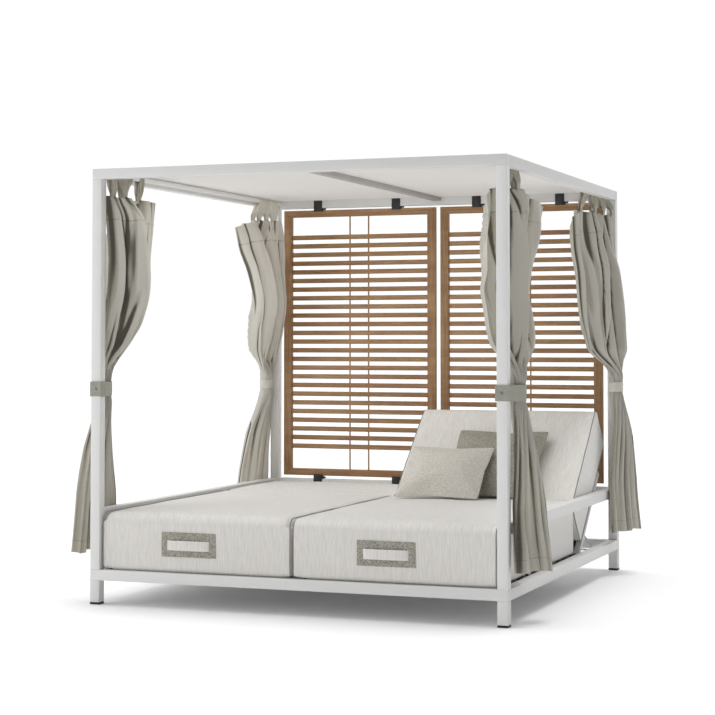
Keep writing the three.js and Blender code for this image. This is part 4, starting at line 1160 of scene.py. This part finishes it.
def loose_part(sign, cut, s, depth, waves):
    """Where the cloth would hang without its tie, and its drawn creases."""
    slow, quick, fine = waves
    table = np.array(cut["rows"]) / 1000
    fall = HEADER_TOP - table[:, 0]
    post_u, post_w, free_u, free_w, deep = (eased_line(depth, fall, table[:, k]) for k in range(1, 6))
    share = np.clip(s + 0.035 * slow * np.clip(depth / 0.3, 0, 1), 0, 1)
    u = post_u + (free_u - post_u) * eased_line(share, KNOTS, cut["along"])
    w = post_w + (free_w - post_w) * s + FOLD_DEPTH * deep * eased_line(share, KNOTS, cut["inward"])
    near_tabs = np.clip(1 - depth / 0.26, 0, 1) ** 1.5
    w = w - near_tabs * TAB_PINCH * np.cos(2 * np.pi * 4 * tab_share(cut, s))
    cusp = np.abs(np.sin(np.pi * (FOLD_COUNT * s + 0.60 * slow + 0.25 * quick) + cut["seed"]))
    calm = np.clip(np.minimum(s, 1 - s) / 0.10, 0.15, 1)
    w = w - sign * calm * 0.024 * (1.25 + slow) * (1 - near_tabs * 0.5) * (2 * cusp**0.6 - 1.3)
    w = w + calm * (1 - near_tabs) * (0.024 * quick + 0.009 * fine) + 0.004 * fine
    drawn = 0
    for top_share, low_share, size in cut["creases"]:
        line = top_share + (low_share - top_share) * np.clip(depth / 0.9, 0, 1)
        crease = np.exp(-np.abs(s - line + 0.05 * slow) / CREASE_WIDTH)
        drawn = drawn + sign * size * crease * np.clip(depth / 0.12, 0.3, 1)
    return ROD[0] - (w + drawn), POST_IN[1] - u, drawn


def tab_share(cut, s):
    """0 at the first tab and 1 at the last one."""
    first, last = cut["tabs"]
    return np.clip((s - first) / (last - first), 0, 1)


print("Folds above the tie:", FOLD_COUNT)


# %% At the tie and below it: pleats round a bundle that fans out to the hem
SKIRT_FOLDS, SMALL_PLEATS = 2.6, 12


def tight_part(sign, cut, s, depth, waves, tie, drawn):
    """Where the gathered cloth is, the pleats that run up from it and the turn of its folds."""
    slow, quick, fine = waves
    height, table = HEADER_TOP - depth, bundle_rows(*tie)
    fall = HEADER_TOP - table[:, 0]
    x, y, wide, thick, small = (eased_line(depth, fall, table[:, k]) for k in range(1, 6))
    turn = 2 * np.pi * (SKIRT_FOLDS * s + 0.30 * slow)
    pleat = 2 * np.pi * (SMALL_PLEATS * s + 0.25 * slow + 0.10 * quick)
    along = -np.cos(np.pi * s) - (1 - small) * 0.10 * np.sin(2 * turn) * (4 * s * (1 - s)) ** 0.5
    along = np.clip(along, -1, 1)
    hull = np.sqrt(np.clip(1 - along**2, 0.02, 1))
    sharp = sign * (2 * np.abs(np.sin(turn / 2)) ** 0.8 - 1.05)
    fold = sharp * (0.95 + 0.4 * quick) * (1 - small) + np.sin(pleat) * small
    pleats = sign * (2 * np.abs(np.sin(pleat / 2)) ** 0.8 - 1.1)
    crease = 0.009 * pleats * (1 - small) * np.clip(1.1 - np.abs(height - tie[1]) / 0.30, 0.03, 1)
    tilt = cut["tilt"] * along * np.clip((tie[1] - height) / 0.5, 0, 1)
    x = x + tilt + thick * hull * np.clip(fold, -1, 1) + crease + 0.006 * fine * (1 - small)
    return x - 0.5 * drawn * (1 - small), y - wide * along, pleats, turn


print("Folds below the tie:", SKIRT_FOLDS, "small pleats at it:", SMALL_PLEATS)


# %% Hang one curtain
CURTAIN_GRID, CLOTH_THICKNESS = (190, 210), 0.0012


def curtain(name, sign, end, cut, tie):
    piece, flat = grid(name, *CURTAIN_GRID)
    s, depth = flat[:, 0] + 0.5, (0.5 - flat[:, 1]) * (HEADER_TOP - HEM)
    height, seed = HEADER_TOP - depth, cut["seed"]
    waves = (
        waver(s, depth, 3.0, 0.9, seed), waver(s, depth, 8.0, 1.5, seed + 5), waver(s, depth, 19.0, 3.2, seed + 9)
    )
    loose_x, loose_y, drawn = loose_part(sign, cut, s, depth, waves)
    tight_x, tight_y, pleats, turn = tight_part(sign, cut, s, depth, waves, tie, drawn)
    near = np.clip((tie[1] + tie[2] / 2 + 0.190 - height) / 0.180, 0, 1)
    near = near * near * (3 - 2 * near)
    radiate = 0.015 * pleats * np.clip(1 - (height - tie[1]) / 0.45, 0, 1) ** 1.2 * (1 - near)
    px = loose_x * (1 - near) + tight_x * near + radiate
    py = loose_y * (1 - near) + tight_y * near
    first, last = cut["tabs"]
    scallop = 0.011 * np.abs(np.sin(4 * np.pi * tab_share(cut, s)))
    scallop = scallop + cut["droop"] * np.clip((s - last) / (1 - last), 0, 1) ** 1.2
    scallop = scallop + cut["hang"] * np.clip((first - s) / first, 0, 1) ** 1.2
    pz = height - scallop * np.clip(1 - depth / 0.5, 0, 1)
    pz = pz + (0.005 * np.sin(turn + 1.0) - 0.005 * waves[1]) * np.clip((depth - 1.3) / 0.42, 0, 1)
    move_points(piece, np.stack([sign * px, end * py + SHIFT, pz], axis=1))
    outward(piece)
    modified(piece, "SOLIDIFY", thickness=CLOTH_THICKNESS, offset=0)
    # The depth of the folds is stored for painted shade and painted highlights.
    shade_folds(piece, sign, hollows(ROD[0] - px) * (1 - 0.55 * near), painted_broad_shade(cut, s, height))
    return smooth(piece, 80)


print("Points of a curtain's sheet:", (CURTAIN_GRID[0] + 1) * (CURTAIN_GRID[1] + 1))


# %% Store how deep each point lies in a fold, as painted shade
# Each window is a number of neighbours to both sides and its share.
FOLD_WINDOWS, DEEP_FOLD = ((18, 0.35), (7, 0.9), (3, 1.5)), 0.0052


def hollows(inner):
    """How far each point lies behind the mean of its neighbours across the cloth, near and far ones together."""
    inner = inner.reshape(CURTAIN_GRID[1] + 1, CURTAIN_GRID[0] + 1)
    hollow = np.zeros_like(inner)
    for window, share in FOLD_WINDOWS:
        kernel = np.ones(2 * window + 1) / (2 * window + 1)
        level = [np.convolve(np.pad(line, window, "reflect", reflect_type="odd"), kernel, "valid") for line in inner]
        hollow += share * (inner - np.array(level))
    return hollow.ravel()


def painted_broad_shade(cut, s, height):
    """The broad areas that the light reaches less get painted shade, or painted light where the amount is below zero.
    """
    found = np.zeros(len(s))
    for middle, width, low, high, amount in cut["shade"]:
        inside = np.clip((height - low) / 0.12, 0, 1) * np.clip((high - height) / 0.12, 0, 1)
        found += amount * np.exp(-(((s - middle) / width) ** 2)) * inside
    return found


def shade_folds(piece, sign, side_depth, away):
    """Stores fold depth, seen from the side each face looks to, plus broad shade, as painted shade. 1 is deep, -1 a
    ridge.
    """
    count = len(piece.data.vertices)
    facing = np.zeros(count * 3)
    piece.data.vertices.foreach_get("normal", facing)
    inward = -sign * facing.reshape(-1, 3)[:, 0]
    depth = np.tile(side_depth, count // len(side_depth) + 1)[:count]
    away = np.tile(away, count // len(away) + 1)[:count]
    shade = piece.data.attributes.new("painted_fold_shade", "FLOAT", "POINT")
    shade.data.foreach_set("value", np.clip(away - np.sign(inward) * depth / DEEP_FOLD, -1, 1))


print("A fold is fully shaded from", DEEP_FOLD, "m on")


# %% Loops that carry the header on its rod
TAB_WIDTH, ROUND_ROD, TAB_DOWN = 0.044, 0.0142, 0.018


def header_point(piece, share):
    """Where the header of a curtain is, at a share of its width."""
    found = points(piece)
    cut = np.zeros(len(piece.data.loops) * 2)
    piece.data.uv_layers[0].data.foreach_get("uv", cut)
    corner = np.zeros(len(piece.data.loops), int)
    piece.data.loops.foreach_get("vertex_index", corner)
    cut = cut.reshape(-1, 2)
    best = np.argmin(np.abs(cut[:, 0] - share) + 4 * np.abs(cut[:, 1] - 1))
    return Vector(found[corner[best]])


def tab(name, header, rod_x, twist):
    """A strip that leaves one face of the header, goes round the rod and comes back to the other face."""
    foot = header.z - TAB_DOWN
    route = [(header.x - 0.0030, foot), (header.x - 0.0040, header.z + 0.006)]
    route += [((header.x - rod_x) * 0.45 + rod_x - 0.010, (header.z + ROD[1]) / 2)]
    for k in range(9):
        turn = math.pi * (1.08 - k * 1.16 / 8)
        route.append((rod_x + ROUND_ROD * math.cos(turn), ROD[1] + ROUND_ROD * math.sin(turn)))
    route += [((header.x - rod_x) * 0.55 + rod_x + 0.010, (header.z + ROD[1]) / 2)]
    route += [(header.x + 0.0040, header.z + 0.006), (header.x + 0.0030, foot)]
    route = np.array(route)
    distance = np.append(0, np.cumsum(np.linalg.norm(np.diff(route, axis=0), axis=1)))
    piece, flat = grid(name, 14, 56)
    across, share = flat[:, 0] * 2, flat[:, 1] + 0.5
    x, z = (eased_line(share * distance[-1], distance, route[:, k]) for k in range(2))
    free = np.sin(np.pi * np.clip(np.abs(2 * share - 1) * 1.25 - 0.1, 0, 1)) ** 2
    pleat = free * (0.0045 * np.cos(across * 5.5 + twist) + 0.002 * np.sin(across * 11))
    away = np.where(share < 0.5, -1.0, 1.0)
    half = TAB_WIDTH / 2 * (1 - 0.38 * free) * across
    turned = twist * free
    places = [x + away * pleat + half * np.sin(turned), header.y + half * np.cos(turned), z]
    move_points(piece, np.stack(places, axis=1))
    modified(piece, "SOLIDIFY", thickness=CLOTH_THICKNESS, offset=0)
    return smooth(piece, 80)


print("A tab is", TAB_WIDTH, "m wide")


# %% Ties round the gathered cloth
TIE_THICKNESS = 0.0026


def hull_of(spots):
    """The outline that a tight band takes round the given points."""
    spots = sorted(set((round(a, 7), round(b, 7)) for a, b in spots))

    def chain(order):
        kept = []
        for spot in order:
            while len(kept) > 1 and (kept[-1][0] - kept[-2][0]) * (spot[1] - kept[-2][1]) <= (
                kept[-1][1] - kept[-2][1]
            ) * (spot[0] - kept[-2][0]):
                kept.pop()
            kept.append(spot)
        return kept[:-1]

    return np.array(chain(spots) + chain(spots[::-1]))


def ring(centre, radius, count=40):
    turns = [2 * math.pi * k / count for k in range(count)]
    return [(centre[0] + radius * math.cos(t), centre[1] + radius * math.sin(t)) for t in turns]


def tie(name, outline, start, level, height, lap, sign, end):
    """A band of cloth along an outline, whose ends lap over each other from the point nearest to start."""
    first = int(np.argmin(np.linalg.norm(outline - np.array(start), axis=1)))
    path = np.roll(outline, -first, axis=0)
    path = np.vstack([path, path[:1]])
    distance = np.append(0, np.cumsum(np.linalg.norm(np.diff(path, axis=0), axis=1)))
    middle = path[:-1].mean(0)
    piece, flat = grid(name, 150, 10)
    share = (flat[:, 0] + 0.5) * (distance[-1] + lap)
    x, y = (np.interp(share % distance[-1], distance, path[:, k]) for k in range(2))
    out = np.stack([x, y], axis=1) - middle
    out /= np.linalg.norm(out, axis=1)[:, None]
    lift = TIE_THICKNESS * np.clip((share - distance[-1] + 0.012) / 0.012, 0, 1)
    lift = lift + 0.0010 * np.cos(np.pi * flat[:, 1])
    wave = 0.0016 * np.sin(share * 46) * np.abs(flat[:, 1]) ** 0.5
    x, y = x + out[:, 0] * (lift + wave * 0.3), y + out[:, 1] * (lift + wave * 0.3)
    z = level + flat[:, 1] * height + wave
    move_points(piece, np.stack([sign * x, end * y + SHIFT, z], axis=1))
    outward(piece)
    modified(piece, "SOLIDIFY", thickness=TIE_THICKNESS * 0.8, offset=0)
    return smooth(piece, 50), distance[-1] + lap


print("The straps are", TIE_THICKNESS, "m thick")


# %% Tie one curtain, with a press stud on a front strap
WAIST_RADIUS, POST_GAP, FRONT_LAP, BACK_LAP = 0.0385, 0.0018, 0.052, 0.035
STUD_RADIUS, STUD_HEIGHT, STUD_FROM_CORNER = 0.008, 0.003, 0.025


def tied(place, sign, end_name):
    """A back strap goes round the gathered cloth only and a front strap round the post as well."""
    end = ENDS[end_name]
    waist_y, level, band = FRONT_TIE if end_name == "front" else BACK_TIE
    waist = ring((WAIST_X, waist_y), WAIST_RADIUS)
    if end_name == "front":
        corners = [(POST_IN[0] - POST_GAP, POST_IN[1] - POST_GAP), (POST_IN[0] - POST_GAP, POST_OUT[1] + POST_GAP)]
        corners += [(POST_OUT[0] + POST_GAP, POST_OUT[1] + POST_GAP)]
        around = hull_of(waist + [spot for corner in corners for spot in ring(corner, 0.0012, 12)])
        start = (POST_IN[0], POST_OUT[1])
        strap, length = tie(f"{place}_tie", around, start, level, band, FRONT_LAP, sign, end)
        finished(strap, tie_fabric, "curtain_fabric", "frame", f"{place}_tieback")
        at = (sign * (POST_IN[0] + STUD_FROM_CORNER), end * (POST_OUT[1] + 0.0062) + SHIFT, level)
        stud = round_bar(at, STUD_RADIUS, STUD_HEIGHT, LEVEL_TURN, bevel=0.0010, sides=32)
        stud.name = f"{place}_button"
        finished(stud, button_metal, "curtain_fabric", "frame")
    else:
        start = (WAIST_X, waist_y + 0.05)
        strap, length = tie(f"{place}_tie", np.array(waist), start, level, band, BACK_LAP, sign, end)
        finished(strap, pale_tie_fabric, "curtain_fabric", "frame")
    return round(length, 3)


print("Straps:", FRONT_TIE[2], "and", BACK_TIE[2], "m wide")


# %% Hang all four curtains
TABS, TWISTS = 5, (0.75, 1.25)
for place, cut in CUTS.items():
    side, end_name = place.split("_")
    sign = SIDES[side]
    drape = curtain(f"{place}_drape", sign, ENDS[end_name], cut, FRONT_TIE if end_name == "front" else BACK_TIE)
    loops = [
        tab(f"{place}_tab_{k + 1}", header_point(drape, share), sign * ROD[0], TWISTS[k % 2])
        for k, share in enumerate(np.linspace(*cut["tabs"], TABS))
    ]
    loops = joined(f"{place}_tabs", loops)
    # The left back curtain gets the lighter copy of the cloth: painted light.
    fabric = painted_light_curtain_fabric if place == "left_back" else curtain_fabric
    finished(drape, fabric, "curtain_fabric", "frame", f"{place}_curtain")
    finished(loops, fabric, "curtain_fabric", "frame")
    strap_length = tied(place, sign, end_name)


# %% [markdown]
# ## Floor
# A wide plane just under the feet carries the shadow. Its edge lies far outside every view.

# %% Lay the floor
def pale_floor():
    finish = Finish("pale_floor", Metallic=0.0, Emission_Color=(1, 1, 1, 1), Emission_Strength=0.04)
    cloud = finish.cloudy(finish.place(), 0.6, 2)
    finish.feed("Base Color", finish.blend(cloud, rgb(251, 251, 253), rgb(253, 253, 254)))
    finish.feed("Roughness", 0.85 + cloud * 0.1)
    return finish.material


deselect()
bpy.ops.mesh.primitive_plane_add(size=160, location=(0, 0, -0.0005))
floor = settled(started("floor"))
floor.data.materials.append(pale_floor())
print("Floor:", round(floor.dimensions.x), "m wide")
